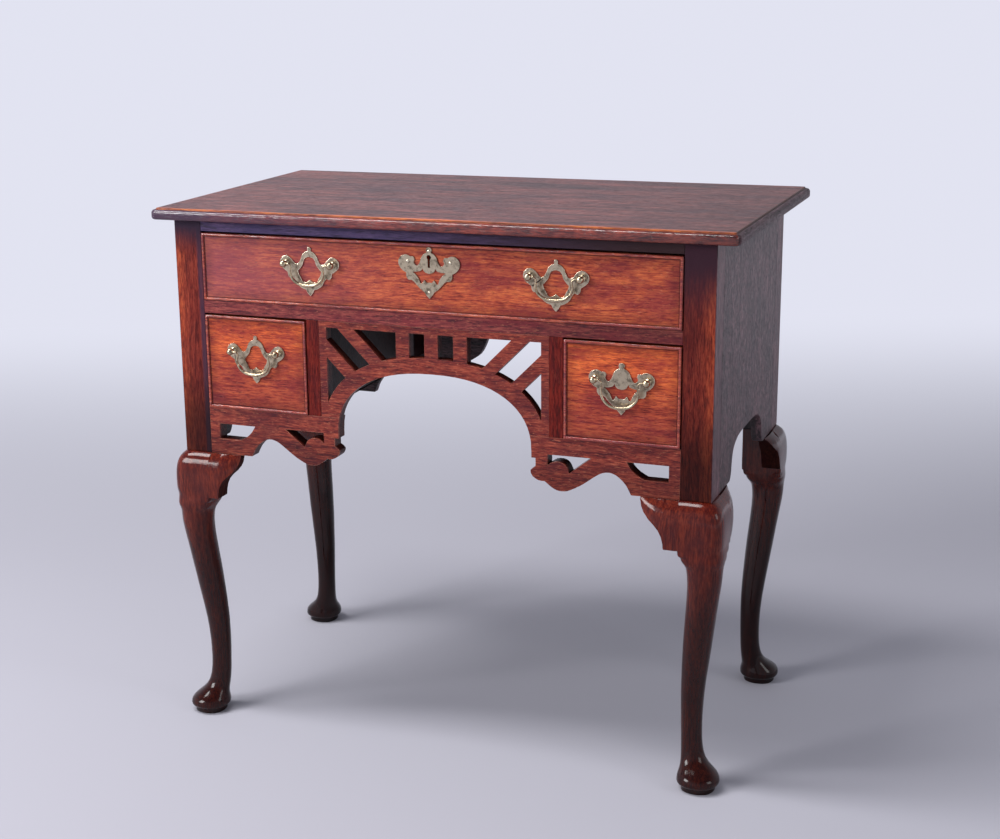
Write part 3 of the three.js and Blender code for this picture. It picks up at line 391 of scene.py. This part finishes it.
def oak(name, look, along="X", shade=None):
    global oakNumber
    oakNumber += 1
    surface = oakSurface
    turnX, turnY = surface["turn"]
    material = bpy.data.materials.new(name)
    material.use_nodes = True
    tree = material.node_tree
    shader = tree.nodes["Principled BSDF"]
    raw = addNode(tree, "TexCoord").outputs["Object"]
    shifted = addNode(tree, "Mapping", {
        "Vector": raw,
        "Location": [step * oakNumber for step in surface["apart"]],
        "Rotation": (turnX * (oakNumber % 5 - 2), turnY * (oakNumber % 3 - 1), 0),
    }).outputs[0]
    drift = addNode(tree, "TexNoise", {
        "Vector": shifted, "Scale": surface["wanderScale"], "Detail": 1,
    }).outputs["Color"]
    coords = addNode(tree, "VectorMath", {0: drift, 1: [surface["wander"]] * 3, 2: shifted},
                     operation="MULTIPLY_ADD").outputs[0]
    grain, pores, colour = oakColour(tree, coords, shifted, along, look)
    if shade:
        colour = shade(tree, raw, shifted, colour)
    tree.links.new(colour, shader.inputs["Base Color"])

    uneven = addNode(tree, "MapRange", {
        "Value": grain, "To Min": look["roughness"] * surface["dull"],
        "To Max": look["roughness"] * surface["glossy"],
    }).outputs["Result"]
    tree.links.new(uneven, shader.inputs["Roughness"])
    shader.inputs["Specular IOR Level"].default_value = look["shine"]

    dents = addNode(tree, "TexNoise", {"Vector": shifted, "Scale": surface["hollowScale"], "Detail": 2})
    hollows = addNode(tree, "Bump", {
        "Height": dents.outputs["Fac"], "Strength": look["waves"], "Distance": surface["hollowDepth"],
    })
    height = sums(tree, "SUBTRACT", grain, sums(tree, "MULTIPLY", pores, surface["poreDepth"]))
    lines = addNode(tree, "Bump", {
        "Height": height, "Strength": look["bump"], "Distance": look["depth"], "Normal": hollows.outputs[0],
    })
    tree.links.new(lines.outputs[0], shader.inputs["Normal"])
    return material


# brass and iron

plateBrass = {"base": (0.45, 0.375, 0.275), "tarnish": (0.13, 0.105, 0.075),
              "low": 0.44, "high": 0.68, "roughness": 0.3}
edgeBrass = {"base": (0.85, 0.76, 0.58), "tarnish": (0.4, 0.32, 0.22),
             "low": 0.5, "high": 0.8, "roughness": 0.2}
turnedBrass = {"base": (0.52, 0.43, 0.29), "tarnish": (0.13, 0.1, 0.065),
               "low": 0.46, "high": 0.7, "roughness": 0.2}
lockIron = {"base": (0.09, 0.08, 0.075), "tarnish": (0.14, 0.06, 0.035),
            "low": 0.5, "high": 0.74, "roughness": 0.5}
metalSurface = {"blotchScale": 160, "scratchScale": 900, "smoother": 0.1, "rougher": 0.2,
                "hollows": (0.3, 0.0006), "scratches": (0.15, 0.0003)}    # strength and depth


def metal(name, look):
    material = bpy.data.materials.new(name)
    material.use_nodes = True
    tree = material.node_tree
    shader = tree.nodes["Principled BSDF"]
    surface = metalSurface
    coords = addNode(tree, "TexCoord").outputs["Object"]
    blotch = addNode(tree, "TexNoise", {
        "Vector": coords, "Scale": surface["blotchScale"], "Detail": 5, "Roughness": 0.7,
    }).outputs["Fac"]
    fine = addNode(tree, "TexNoise", {"Vector": coords, "Scale": surface["scratchScale"], "Detail": 3})
    tarnish = mask(tree, blotch, look["low"], look["high"])
    tree.links.new(blend(tree, tarnish, look["base"], look["tarnish"]), shader.inputs["Base Color"])
    uneven = addNode(tree, "MapRange", {
        "Value": blotch, "To Min": look["roughness"] - surface["smoother"],
        "To Max": look["roughness"] + surface["rougher"],
    }).outputs["Result"]
    tree.links.new(uneven, shader.inputs["Roughness"])
    shader.inputs["Metallic"].default_value = 1
    strength, depth = surface["hollows"]
    hollows = addNode(tree, "Bump", {"Height": blotch, "Strength": strength, "Distance": depth})
    strength, depth = surface["scratches"]
    scratches = addNode(tree, "Bump", {
        "Height": fine.outputs["Fac"], "Strength": strength, "Distance": depth, "Normal": hollows.outputs[0],
    })
    tree.links.new(scratches.outputs[0], shader.inputs["Normal"])
    return material


brassPlate = metal("brass_plate", plateBrass)
brassEdge = metal("brass_edge", edgeBrass)
brassTurned = metal("brass_turned", turnedBrass)
iron = metal("lock_iron", lockIron)
print("metals made")


# table top: a thick slab, a small fillet and a quirk above a round nose

topBoard = {
    "edge": 0.0064, "quirk": 0.0019, "broken": 0.0003,
    "corner": 0.009, "cornerSteps": 6, "nose": 0.0048, "under": 0.0036, "noseSteps": 5,
    "fillet": 0.0011, "filletSteps": 3, "level": 0.99,
}
topLow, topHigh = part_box("top_board")
# the warm band along the front is painted light, the dark quirk line painted shade; the streaks are grain
topStreaksAndPaintedLight = {"warm": fromFace(topLow.y, (0.014, 0.008)), "warmth": (4.5, 3.4, 1.6),
           "streak": (0.22, 0.006), "streaks": (0.5, 0.62), "streakDark": 0.35,
           "quirk": fromFace(topBoard["edge"], (0.0002, -0.0004)), "quirkDark": 0.25}
# darker to the right: painted shade
topPaintedShade = {"right": ("X", 0.1, 0.35, 0.75)}
filletDarker = {"roundSides": ("Y", *fromFace(topLow.y, (0.009, 0.013)), 0.2)}
# the nose: painted shade to the right, a painted bluish reflection to the left
nosePaintedShade = {"right": ("X", 0.1, 0.38, 0.6)}
nosePaintedSheen = {"left": (0.05, -0.45), "colour": (0.045, 0.02, 0.05)}


def shadeTop(tree, raw, shifted, colour):    # warm along the front, painted light on the lit front margin; darker to the right and in the quirk, painted shade
    warm = mask(tree, axisOf(tree, raw, "Y"), *topStreaksAndPaintedLight["warm"])
    colour = blend(tree, warm, colour, tint(tree, colour, topStreaksAndPaintedLight["warmth"]))
    streaks = stretchedNoise(tree, shifted, "X", *topStreaksAndPaintedLight["streak"], detail=3)
    colour = darken(tree, mask(tree, streaks, *topStreaksAndPaintedLight["streaks"]), colour, topStreaksAndPaintedLight["streakDark"])
    colour = darkenAlong(topPaintedShade)(tree, raw, shifted, colour)
    distance = edgeDistance(tree, raw, topLow, topHigh, "XY")
    # the quirk darkened: painted shade
    return darken(tree, mask(tree, distance, *topStreaksAndPaintedLight["quirk"]), colour, topStreaksAndPaintedLight["quirkDark"])


def shadeNose(tree, raw, shifted, colour):    # a painted bluish reflection to the left, painted shade to the right
    colour = darkenAlong(nosePaintedShade)(tree, raw, shifted, colour)
    return blend(tree, mask(tree, axisOf(tree, raw, "X"), *nosePaintedSheen["left"]), colour, nosePaintedSheen["colour"])


def makeTop(values, low, high):
    flat = high.z - values["quirk"]
    board = addBlock("top_board_finished", low, (high.x, high.y, flat))
    editEdges(board, lambda a, b: abs(a.z - b.z) > near)
    bpy.ops.mesh.bevel(offset=values["corner"], segments=values["cornerSteps"], profile=0.5)
    leaveEdit()
    editFaces(board, lambda centre, normal: normal.z > facing)
    bpy.ops.mesh.inset(thickness=values["edge"])
    bpy.ops.mesh.extrude_region_move(TRANSFORM_OT_translate={"value": (0, 0, values["quirk"])})
    leaveEdit()

    def cornerDistance(point):
        across = max(low.x + values["corner"] - point.x, point.x - high.x + values["corner"])
        along = max(low.y + values["corner"] - point.y, point.y - high.y + values["corner"])
        if across <= 0 or along <= 0:
            return 1
        return abs(math.hypot(across, along) - values["corner"])

    def onRim(point):
        inside = min(point.x - low.x, high.x - point.x, point.y - low.y, high.y - point.y)
        return inside < near or cornerDistance(point) < 2 * near

    for height, offset in ((flat, values["nose"]), (low.z, values["under"])):
        editEdges(board, lambda a, b: abs(a.z - height) < near and abs(b.z - height) < near
                  and onRim(a) and onRim(b))
        bpy.ops.mesh.bevel(offset=offset, segments=values["noseSteps"], profile=0.5)
        leaveEdit()
    editEdges(board, lambda a, b: min(a.z, b.z) > high.z - near)
    bpy.ops.mesh.bevel(offset=values["fillet"], segments=values["filletSteps"], profile=0.5,
                       clamp_overlap=False)
    leaveEdit()
    giveFinish(board, oak("top_oak", topOak, "X", shadeTop), oak("top_nose_oak", noseOak, "X", shadeNose),
               oak("top_fillet_oak", filletPaintedLightOak, "X", darkenAlong(filletDarker)),
               oak("top_side_oak", topSideOak, "Y"))
    for face in board.data.polygons:    # the fillet, then the nose in front and round the sides
        if face.center.z > flat + near and face.normal.z < values["level"]:
            face.material_index = 2
        elif face.center.z < flat - near and face.normal.z > -values["level"]:
            face.material_index = 1 if -face.normal.y > abs(face.normal.x) else 3
    softenEdges(board, values["broken"], angle=60)
    return board


install(makeTop(topBoard, topLow, topHigh), "top_board")
print("table top done")


# legs: a square post over a knee that swells out, a shin and ankle drawn in, a pad foot on a turned base.
# One cage for the back right corner: height, half width, lean to the corner, in mm; subdivision rounds it

legCage = {
    "post": 39,
    "top": 695,
    "broken": 0.9,
    "rounds": 3,
    "smooth": 50,
    "levels": [
        (381, 20.7, 1.2), (378.5, 22.5, 3), (373, 25.2, 5.7), (363, 26.9, 7.4), (350, 27.5, 8),
        (335, 27.5, 8), (321, 27.1, 7.6), (313, 26.6, 8.8), (299, 24.9, 11), (280, 22.9, 12),
        (250, 21.2, 8.7), (220, 20.5, 5.3), (190, 19.5, 2.1), (160, 18, -0.9), (131, 16.4, -3.5),
        (101, 15, -4.6), (72, 14.3, -4.5), (52, 14.8, -3.4), (40, 16.1, -1.4), (32, 18.9, 1.6),
        (26, 23.2, 5.4), (21, 27.1, 7.5), (17, 29, 8.3), (13, 29.6, 8.5), (10, 29.2, 8.5),
        (7.7, 26.6, 8.5), (7.5, 23.8, 8.5), (0, 23.6, 8.5),
    ],
    "cornerCreases": [(320, 382, 0.32), (298, 321, 0.27)],
    "sideCreases": [(320, 382, 1), (312, 321, 0.6), (298, 313, 0.35)],
    "ringCreases": [(381, 0.95), (7.7, 0.6), (7.5, 0.8), (0, 0.85)],
}


legWearAndShade = {    # handled down to a dark gloss, the turned base dirty; the back legs darker, partly dirt, partly painted shade
    "backLegsDirtAndShade": ("Y", -0.1, 0.1, 0.5), "shin": ("Z", 0.34, 0.2, 0.3), "ankle": ("Z", 0.2, 0.1, 0.75),
    "base": ("Z", 0.009, 0.006, 0.6),
}
shadeLeg = darkenAlong(legWearAndShade)
# the top and right marks are painted shade, the top one with dirt; the inner one is a painted sheen
postWearAndShade = {    # places are heights, or distances from the middle of the table
    "right": (-0.1, 0.1), "rightShade": 0.85, "corner": (0.341, 0.359), "warm": (1.4, 1.7, 1.2), "face": 0.75,
    "inner": (0.331, 0.327), "leftOnly": (0.9, -0.4), "innerSheen": (0.05, 0.026, 0.05),
    "top": (0.645, 0.69), "topDirtAndShade": (0.03, 0.017, 0.035),
    "rightTop": (0.58, 0.68), "rightTopShade": (0.05, 0.018, 0.03),
    "foot": (0.52, 0.42), "footDark": 0.28, "side": (0.36, 0.3608),
}


def shadePost(tree, raw, shifted, colour):    # dark at both ends, the top partly dirt, partly painted shade; the right post painted darker, a bluish sheen painted on the left post's inner band; corner worn warm, side face faded grey
    wearAndShade = postWearAndShade
    height = axisOf(tree, raw, "Z")
    across = sums(tree, "ABSOLUTE", axisOf(tree, raw, "X"), 0)
    right = mask(tree, axisOf(tree, raw, "X"), *wearAndShade["right"])
    face = darken(tree, 1.0, colour, wearAndShade["face"])
    colour = blend(tree, mask(tree, across, *wearAndShade["corner"]), face, tint(tree, colour, wearAndShade["warm"]))
    # a painted bluish sheen on the left post's inner band
    inner = sums(tree, "MULTIPLY", mask(tree, across, *wearAndShade["inner"]), mask(tree, right, *wearAndShade["leftOnly"]))
    colour = blend(tree, inner, colour, wearAndShade["innerSheen"])
    # dark under the top: dirt with painted shade
    colour = blend(tree, mask(tree, height, *wearAndShade["top"]), colour, wearAndShade["topDirtAndShade"])
    # painted shade at the top of the right post
    paintedLight = sums(tree, "MULTIPLY", right, mask(tree, height, *wearAndShade["rightTop"]))
    colour = blend(tree, paintedLight, colour, wearAndShade["rightTopShade"])
    colour = darken(tree, mask(tree, height, *wearAndShade["foot"]), colour, wearAndShade["footDark"])
    # the right post painted darker: painted shade
    colour = darken(tree, right, colour, wearAndShade["rightShade"])
    faded = oakColour(tree, raw, shifted, "Z", sideOak)[2]
    return blend(tree, mask(tree, across, *wearAndShade["side"]), colour, faded)


def makeLeg(values):
    levels = [(height / 1000, half / 1000, lean / 1000) for height, half, lean in values["levels"]]
    height, half, lean = levels[0]
    below = levels[1][0]
    leg = addBlock("leg", (lean - half, lean - half, below), (lean + half, lean + half, height))
    editFaces(leg, lambda centre, normal: normal.z < -facing)
    for before, after in zip(levels, levels[1:]):
        if before != levels[0]:
            bpy.ops.mesh.extrude_region_move(
                TRANSFORM_OT_translate={"value": (0, 0, after[0] - before[0])})
        move = after[2] - before[2]
        bpy.ops.transform.translate(value=(move, move, 0))
        grow = after[1] / before[1]
        bpy.ops.transform.resize(value=(grow, grow, 1), center_override=(after[2], after[2], after[0]))
    leaveEdit()

    def centreAt(height):
        return min(levels, key=lambda level: abs(level[0] - height))[2]

    def corner(a, b):    # 2 at the outer corner, 0 at the side ones, -2 at the inner one
        if abs(a.z - b.z) < near:
            return None
        middle = centreAt(a.z)
        return (1 if a.x > middle else -1) + (1 if a.y > middle else -1)

    for kind, spans in (((2,), values["cornerCreases"]), ((0, -2), values["sideCreases"])):
        for low, high, crease in spans:
            editEdges(leg, lambda a, b: corner(a, b) in kind and min(a.z, b.z) > low / 1000 - near
                      and max(a.z, b.z) < high / 1000 + near)
            bpy.ops.transform.edge_crease(value=crease)
            leaveEdit()
    for level, crease in values["ringCreases"]:
        editEdges(leg, lambda a, b: abs(a.z - level / 1000) < near and abs(b.z - level / 1000) < near)
        bpy.ops.transform.edge_crease(value=crease)
        leaveEdit()
    applyModifier(leg, "SUBSURF", levels=values["rounds"], render_levels=values["rounds"])
    smoothBelow(leg, values["smooth"])
    return leg


def makePost(values):
    half = values["post"] / 2000
    post = addBlock("post", (-half, -half, values["levels"][0][0] / 1000), (half, half, values["top"] / 1000))
    softenEdges(post, values["broken"] / 1000)
    return post


legModel = makeLeg(legCage)
postModel = makePost(legCage)
postHalf = legCage["post"] / 2000
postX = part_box("side_panel_right")[1].x - postHalf
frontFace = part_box("rail_top")[0].y
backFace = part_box("back_panel")[1].y
postY = {-1: frontFace + postHalf, 1: backFace - postHalf}
for node, signs in (("leg_front_left", (-1, -1, 1)), ("leg_front_right", (1, -1, 1)),
                    ("leg_back_left", (-1, 1, 1)), ("leg_back_right", (1, 1, 1))):
    leg = mirroredCopy(legModel, node + "_finished", signs)
    giveFinish(leg, oak(node + "_oak", legOak, "Z", shadeLeg))
    post = mirroredCopy(postModel, node + "_post", signs)
    giveFinish(post, oak(node + "_post_oak", postOak if signs[1] < 0 else sideOak, "Z", shadePost))
    leg = joinPieces(post, leg)
    leg.location = (signs[0] * postX, postY[signs[1]], 0)
    applyPlace(leg)
    install(leg, node)
bpy.data.objects.remove(legModel)
bpy.data.objects.remove(postModel)
print("legs done")


# knee brackets

kneeBrackets = {"edge": 0.0008, "smooth": 40, "sawn": 0.3}
# sawn edges: dull end grain, painted near black as shade on the undersides
sawnAndShadedOak = {**legOak,
           "pale": (0.06, 0.014, 0.009), "mid": (0.035, 0.007, 0.005), "dark": (0.018, 0.003, 0.003),
           "shine": 0.03, "roughness": 0.6}

for node in nodes:
    if node.startswith("bracket_"):
        bracket = copyOfNode(node, oak(node + "_oak", legOak, "Z", shadeLeg),
                             oak(node + "_sawn", sawnAndShadedOak, "Z", shadeLeg), whole=False)
        softenEdges(bracket, kneeBrackets["edge"], angle=kneeBrackets["smooth"])
        outward = 0 if "side" in node else 1
        for face in bracket.data.polygons:    # the sawn edges are dull and painted near black: end grain, with painted shade beneath
            face.material_index = 1 if abs(face.normal[outward]) < kneeBrackets["sawn"] else 0
        install(bracket, node)
print("knee brackets done")


# boards of the case, their edges worn; painted shade inside the case and towards the right

brokenEdge = 0.0007
# the rail's painted blue sheen fades to the right
topRailPaintedSheen = {"right": (-0.15, 0.3), "colour": (0.03, 0.01, 0.012)}
# the middle rail darker to the right: painted shade
middleRailShade = {"right": ("X", 0.0, 0.3, 0.62)}
# the partitions go near black inside the case: painted shade
muntinShade = {"insideCase": ("Y", *fromFace(frontFace, (0.012, 0.024)), 0.12)}
# fret window edges darker going in: end grain, with painted shade inside the windows
fretSawnEdgeShade = {"sawnEdgesAndShade": ("Y", *fromFace(frontFace, (0.0012, 0.006)), 0.3)}
# the aprons darker at the lower edge and towards the right; the right-hand darkening is painted shade
apronDarkening = {"lowerEdge": ("Z", 0.43, 0.39, 0.7), "right": ("X", 0.1, 0.3, 0.92), **fretSawnEdgeShade}
# the back panel's inner face darkened: painted shade inside the case
backPanelShade = {"insideCase": ("Y", *fromFace(backFace, (-0.004, -0.009)), 0.3)}
# the inner face darkened is painted shade; the pits are the wood's own
sidePitsAndShade = {"inside": fromFace(postX, (0.015, 0.009)), "insideDark": 0.3,
            "pit": (0.006, 0.0038), "pits": (0.46, 0.58), "pitDark": 0.4,
            "rim": (0.05, 0.005), "rimDark": 0.7}


def shadeTopRail(tree, raw, shifted, colour):    # the painted blue sheen fades to the right
    right = mask(tree, axisOf(tree, raw, "X"), *topRailPaintedSheen["right"])
    return blend(tree, right, colour, topRailPaintedSheen["colour"])


def shadeSide(tree, raw, shifted, colour):    # inner face painted near black as shade inside the case, outer face darker round its edges
    pitted = stretchedNoise(tree, shifted, "Z", *sidePitsAndShade["pit"], detail=3)
    colour = darken(tree, mask(tree, pitted, *sidePitsAndShade["pits"]), colour, sidePitsAndShade["pitDark"])
    across = sums(tree, "ABSOLUTE", axisOf(tree, raw, "X"), 0)
    colour = darken(tree, mask(tree, across, *sidePitsAndShade["inside"]), colour, sidePitsAndShade["insideDark"])
    rim = edgeDistance(tree, raw, *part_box("side_panel_right"), "YZ")
    return darken(tree, mask(tree, rim, *sidePitsAndShade["rim"]), colour, sidePitsAndShade["rimDark"])


caseBoards = {
    "rail_top": (topRailDirtAndShadeOak, "X", shadeTopRail), "rail_middle": (railOak, "X", darkenAlong(middleRailShade)),
    "partition_left": (muntinOak, "Z", darkenAlong(muntinShade)),
    "partition_right": (muntinOak, "Z", darkenAlong(muntinShade)),
    "side_panel_left": (sideOak, "Z", shadeSide), "side_panel_right": (sideOak, "Z", shadeSide),
    "back_panel": (sideOak, "X", darkenAlong(backPanelShade)),
}
piercedBoards = {"arch_fret": fretSawnEdgeShade, "apron_left": apronDarkening, "apron_right": apronDarkening}

for node, (look, along, shade) in caseBoards.items():
    board = copyOfNode(node, oak(node + "_oak", look, along, shade))
    softenEdges(board, brokenEdge)
    install(board, node)
for node, wearAndShade in piercedBoards.items():
    board = copyOfNode(node, oak(node + "_oak", fretOak, "X", darkenAlong(wearAndShade)),
                       oak(node + "_edge", fretEdge, "X", darkenAlong(wearAndShade)))
    softenEdges(board, brokenEdge, worn=True)
    install(board, node)
print("case boards done")


# drawer fronts: the bead round each is turned half round, dirt lies beside it, and a dark line at its inner
# side is partly dirt, partly painted shade

bead = {"width": 0.0035, "round": 0.0014, "steps": 4, "proud": 0.0002, "reach": 0.006, "broken": 0.0003}
frontWearAndSheen = {
    "left": (0.05, -0.33), "paintedLight": (0.34, 0.11, 0.15), "paintedLightAmount": 0.4,    # a painted violet sheen on the long drawer
    "above": (1.3, 1.2, 0.85), "below": (0.74, 0.64, 0.82),    # tints of the small ones
    "rim": (0.022, 0.004), "rimDark": 0.72, "beside": fromFace(bead["width"], (0.0022, 0.0006)),
    "besideDark": 0.4, "unpolished": (0.007, 0.011),
}
longDrawer = "top_drawer_front"
beadOak = {**frontOak, "pale": (0.55, 0.11, 0.05), "mid": (0.3, 0.042, 0.025), "dark": (0.1, 0.012, 0.013),
           "shine": 0.6, "roughness": 0.14, "waves": 0.6}


def makeDrawerFront(node, values, wearAndShade):
    low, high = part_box(node)
    boardFace = max(face.center.y for face in nodes[node].data.polygons
                    if face.normal.y < -facing and face.center.y < low.y + values["reach"])

    def shadeFront(tree, raw, shifted, colour):
        if node == longDrawer:    # a painted violet sheen to the left
            left = mask(tree, axisOf(tree, raw, "X"), *wearAndShade["left"])
            colour = blend(tree, sums(tree, "MULTIPLY", left, wearAndShade["paintedLightAmount"]), colour, wearAndShade["paintedLight"])
        else:    # warmer above
            height = mask(tree, axisOf(tree, raw, "Z"), low.z, high.z)
            colour = tint(tree, colour, blend(tree, height, wearAndShade["below"], wearAndShade["above"]))
        distance = edgeDistance(tree, raw, low, high)
        colour = darken(tree, mask(tree, distance, *wearAndShade["rim"]), colour, wearAndShade["rimDark"])
        # the dark line at the bead's inner side: partly dirt, partly painted shade
        colour = darken(tree, mask(tree, distance, *wearAndShade["beside"]), colour, wearAndShade["besideDark"])
        inside = mask(tree, axisOf(tree, raw, "Y"), *fromFace(low.y, wearAndShade["unpolished"]))
        return blend(tree, inside, colour, oakColour(tree, raw, shifted, "X", drawerOak)[2])

    front = copyOfNode(node, oak(node + "_oak", frontOak, "X", shadeFront), oak(node + "_bead", beadOak))
    editEdges(front, lambda a, b: abs(a.y - low.y) < near and abs(b.y - low.y) < near)
    bpy.ops.mesh.bevel(offset=values["round"], segments=values["steps"], profile=0.5)
    leaveEdit()
    for face in front.data.polygons:    # the bead stands in front of the board's face
        face.material_index = 1 if face.center.y < boardFace - values["proud"] else 0
    softenEdges(front, values["broken"])
    install(front, node)


for node in (longDrawer, "left_drawer_front", "right_drawer_front"):
    makeDrawerFront(node, bead, frontWearAndSheen)
print("drawer fronts done")


# inside boards keep their frame shape

for node, slot in slotOf.items():
    if slot == "oak_inside":
        along = "Y" if "side" in node or "runner" in node or "bearer" in node else "X"
        look = drawerOak if "drawer" in node else darkWoodAndShadeOak
        giveFinish(nodes[node], oak(node + "_oak", look, along))
for node in ("lock", "lock_bolt"):
    giveFinish(nodes[node], iron)
print("insides done")


# brass: plates filed to a bevel, turned ball posts, bails

plates = {"filed": 0.0008, "angle": 50}
bails = {"rounds": 1, "smooth": 60}
ballPost = {    # distance in front of the drawer face and radius, in mm, from the nut outwards
    "nut": (-21, -18, 5),
    "levels": [(-18, 2), (1.8, 2), (1.8, 4.4), (2.4, 4.6), (3.1, 4.2), (3.7, 3), (4.6, 2.5), (5.6, 2.4),
               (6.4, 2.8), (7, 3.4), (7.8, 4.05), (8.9, 4.5), (10.3, 4.65), (11.7, 4.5), (12.9, 3.9),
               (13.8, 3), (14.4, 2.1), (14.75, 1.2), (14.9, 0.5)],
    "sides": 24,
    "smooth": 50,
}
handles = ("top_left_handle", "top_right_handle", "left_handle", "right_handle")


def makeBallPost(values, name, x, z):
    back, front, radius = values["nut"]
    bpy.ops.object.select_all(action="DESELECT")
    bpy.ops.mesh.primitive_cylinder_add(
        vertices=values["sides"], radius=radius / 1000, depth=(front - back) / 1000,
        location=(x, frontFace - (back + front) / 2000, z), rotation=(math.radians(90), 0, 0))
    post = bpy.context.object
    post.name = name
    applyPlace(post)
    editFaces(post, lambda centre, normal: normal.y < -facing)
    reach, wide = front, radius
    for forward, girth in values["levels"]:
        bpy.ops.mesh.extrude_region_move(
            TRANSFORM_OT_translate={"value": (0, -(forward - reach) / 1000, 0)})
        bpy.ops.transform.resize(value=(girth / wide, 1, girth / wide),
                                 center_override=(x, frontFace - forward / 1000, z))
        reach, wide = forward, girth
    leaveEdit()
    smoothBelow(post, values["smooth"])
    giveFinish(post, brassTurned)
    return post


for handle in handles:
    plate = copyOfNode(handle + "_plate", brassPlate, brassEdge)
    softenEdges(plate, plates["filed"], angle=plates["angle"], worn=True)
    install(plate, handle + "_plate")
    for side in ("left", "right"):
        node = handle + "_post_" + side
        low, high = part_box(node)
        post = makeBallPost(ballPost, node + "_finished", (low.x + high.x) / 2, (low.z + high.z) / 2)
        install(post, node)
    bail = copyOfNode(handle + "_bail", brassTurned, whole=False)
    applyModifier(bail, "SUBSURF", levels=bails["rounds"], render_levels=bails["rounds"])
    smoothBelow(bail, bails["smooth"])
    install(bail, handle + "_bail")
print("handles done")


# escutcheon with its four nail heads

nailHead = {
    "radius": 0.0017, "proud": 0.0007, "line": 0.02112,    # metres; the line lies below the plate's top
    "places": [(-28.5, 3), (28.5, 3), (0, 16.5), (0, -35)],    # mm from the line's middle
}


def makeEscutcheon(values):
    plate = copyOfNode("escutcheon", brassPlate, brassEdge)
    softenEdges(plate, plates["filed"], angle=plates["angle"], worn=True)
    low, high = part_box("escutcheon")
    middleX = (low.x + high.x) / 2
    line = high.z - values["line"]
    nails = []
    for across, up in values["places"]:
        bpy.ops.object.select_all(action="DESELECT")
        bpy.ops.mesh.primitive_uv_sphere_add(
            segments=16, ring_count=8, radius=values["radius"],
            location=(middleX + across / 1000, low.y, line + up / 1000))
        nail = bpy.context.object
        nail.scale.y = values["proud"] / values["radius"]
        applyPlace(nail)
        bpy.ops.object.shade_smooth()
        giveFinish(nail, brassEdge)
        nails.append(nail)
    return joinPieces(*nails, plate)


install(makeEscutcheon(nailHead), "escutcheon")
print("escutcheon done")


# floor, lamps and sky

studio = {
    "floor": (0.47, 0.46, 0.52), "backdrop": (0.76, 0.77, 0.88),
    "behind": (-0.38, 0.92, 0), "sweep": (0.5, 2.6), "around": (1.8, 4.2),
    "size": 120, "roughness": 0.7, "shine": 0.2,
    "sky": (0.86, 0.89, 1.0), "skyStrength": 0.36,
    "mirroredRight": (-0.45, 0.1, 0.6), "mirroredAbove": (0.35, 0.8, 0.4),    # start, end, share left
    "lamps": [    # name, place, aimed at, width, height, watts
        ("window", (-1.15, -0.7, 3.0), (0, -0.7, 0.4), 0.7, 2.1, 70),
        ("front_softbox", (-2.5, -2.6, 1.9), (0, 0, 0.45), 1.4, 1.4, 90),
        ("right_softbox", (3.0, -0.6, 1.6), (0, 0, 0.4), 1.2, 1.2, 14),
    ],
}


def seenDirectly(tree):    # 1 for camera, mirror and glass rays, which meet the pale backdrop itself
    path = addNode(tree, "LightPath").outputs
    mirrored = sums(tree, "MAXIMUM", path["Is Glossy Ray"], path["Is Transmission Ray"])
    return sums(tree, "MAXIMUM", path["Is Camera Ray"], mirrored)


def makeFloor(values):    # grey under the table, rising into the pale backdrop
    bpy.ops.object.select_all(action="DESELECT")
    bpy.ops.mesh.primitive_plane_add(size=values["size"], location=(0, 0, 0))
    floor = bpy.context.object
    floor.name = "floor"
    applyPlace(floor)
    material = bpy.data.materials.new("pale_floor")
    material.use_nodes = True
    tree = material.node_tree
    shader = tree.nodes["Principled BSDF"]
    shader.inputs["Base Color"].default_value = (*values["floor"], 1)
    shader.inputs["Roughness"].default_value = values["roughness"]
    shader.inputs["Specular IOR Level"].default_value = values["shine"]
    place = addNode(tree, "TexCoord").outputs["Object"]
    behind = addNode(tree, "VectorMath", {0: place, 1: values["behind"]}, operation="DOT_PRODUCT")
    away = addNode(tree, "VectorMath", {0: place}, operation="LENGTH")
    far = sums(tree, "MAXIMUM", mask(tree, behind.outputs["Value"], *values["sweep"]),
               mask(tree, away.outputs["Value"], *values["around"]))
    pale = addNode(tree, "Emission", {"Color": (*values["backdrop"], 1), "Strength": 1})
    mixed = addNode(tree, "MixShader", {
        0: sums(tree, "MULTIPLY", far, seenDirectly(tree)), 1: shader.outputs[0], 2: pale.outputs[0],
    })
    tree.links.new(mixed.outputs[0], tree.nodes["Material Output"].inputs["Surface"])
    giveFinish(floor, material)


def makeSky(values):    # plain light; the polish mirrors the backdrop dimmer to the right and overhead
    world = bpy.data.worlds.new("studio")
    world.use_nodes = True
    tree = world.node_tree
    light = tree.nodes["Background"]
    light.inputs["Color"].default_value = (*values["sky"], 1)
    light.inputs["Strength"].default_value = values["skyStrength"]
    direction = addNode(tree, "TexCoord").outputs["Generated"]
    dimmed = {"right": ("X", *values["mirroredRight"]), "above": ("Z", *values["mirroredAbove"])}
    colour = darkenAlong(dimmed)(tree, direction, direction, values["backdrop"])
    colour = blend(tree, addNode(tree, "LightPath").outputs["Is Camera Ray"], colour, values["backdrop"])
    pale = addNode(tree, "Background", {"Color": colour, "Strength": 1})
    mixed = addNode(tree, "MixShader", {0: seenDirectly(tree), 1: light.outputs[0], 2: pale.outputs[0]})
    tree.links.new(mixed.outputs[0], tree.nodes["World Output"].inputs["Surface"])
    bpy.context.scene.world = world


def makeLamps(values):
    for name, place, target, width, height, watts in values["lamps"]:
        data = bpy.data.lights.new(name, "AREA")
        data.shape = "RECTANGLE"
        data.size, data.size_y, data.energy = width, height, watts
        lamp = bpy.data.objects.new(name, data)
        lamp.location = place
        lamp.rotation_euler = (Vector(target) - Vector(place)).to_track_quat("-Z", "Y").to_euler()
        bpy.context.scene.collection.objects.link(lamp)


makeFloor(studio)
makeSky(studio)
makeLamps(studio)
bpy.context.scene.view_settings.view_transform = "Standard"
print("studio lit")
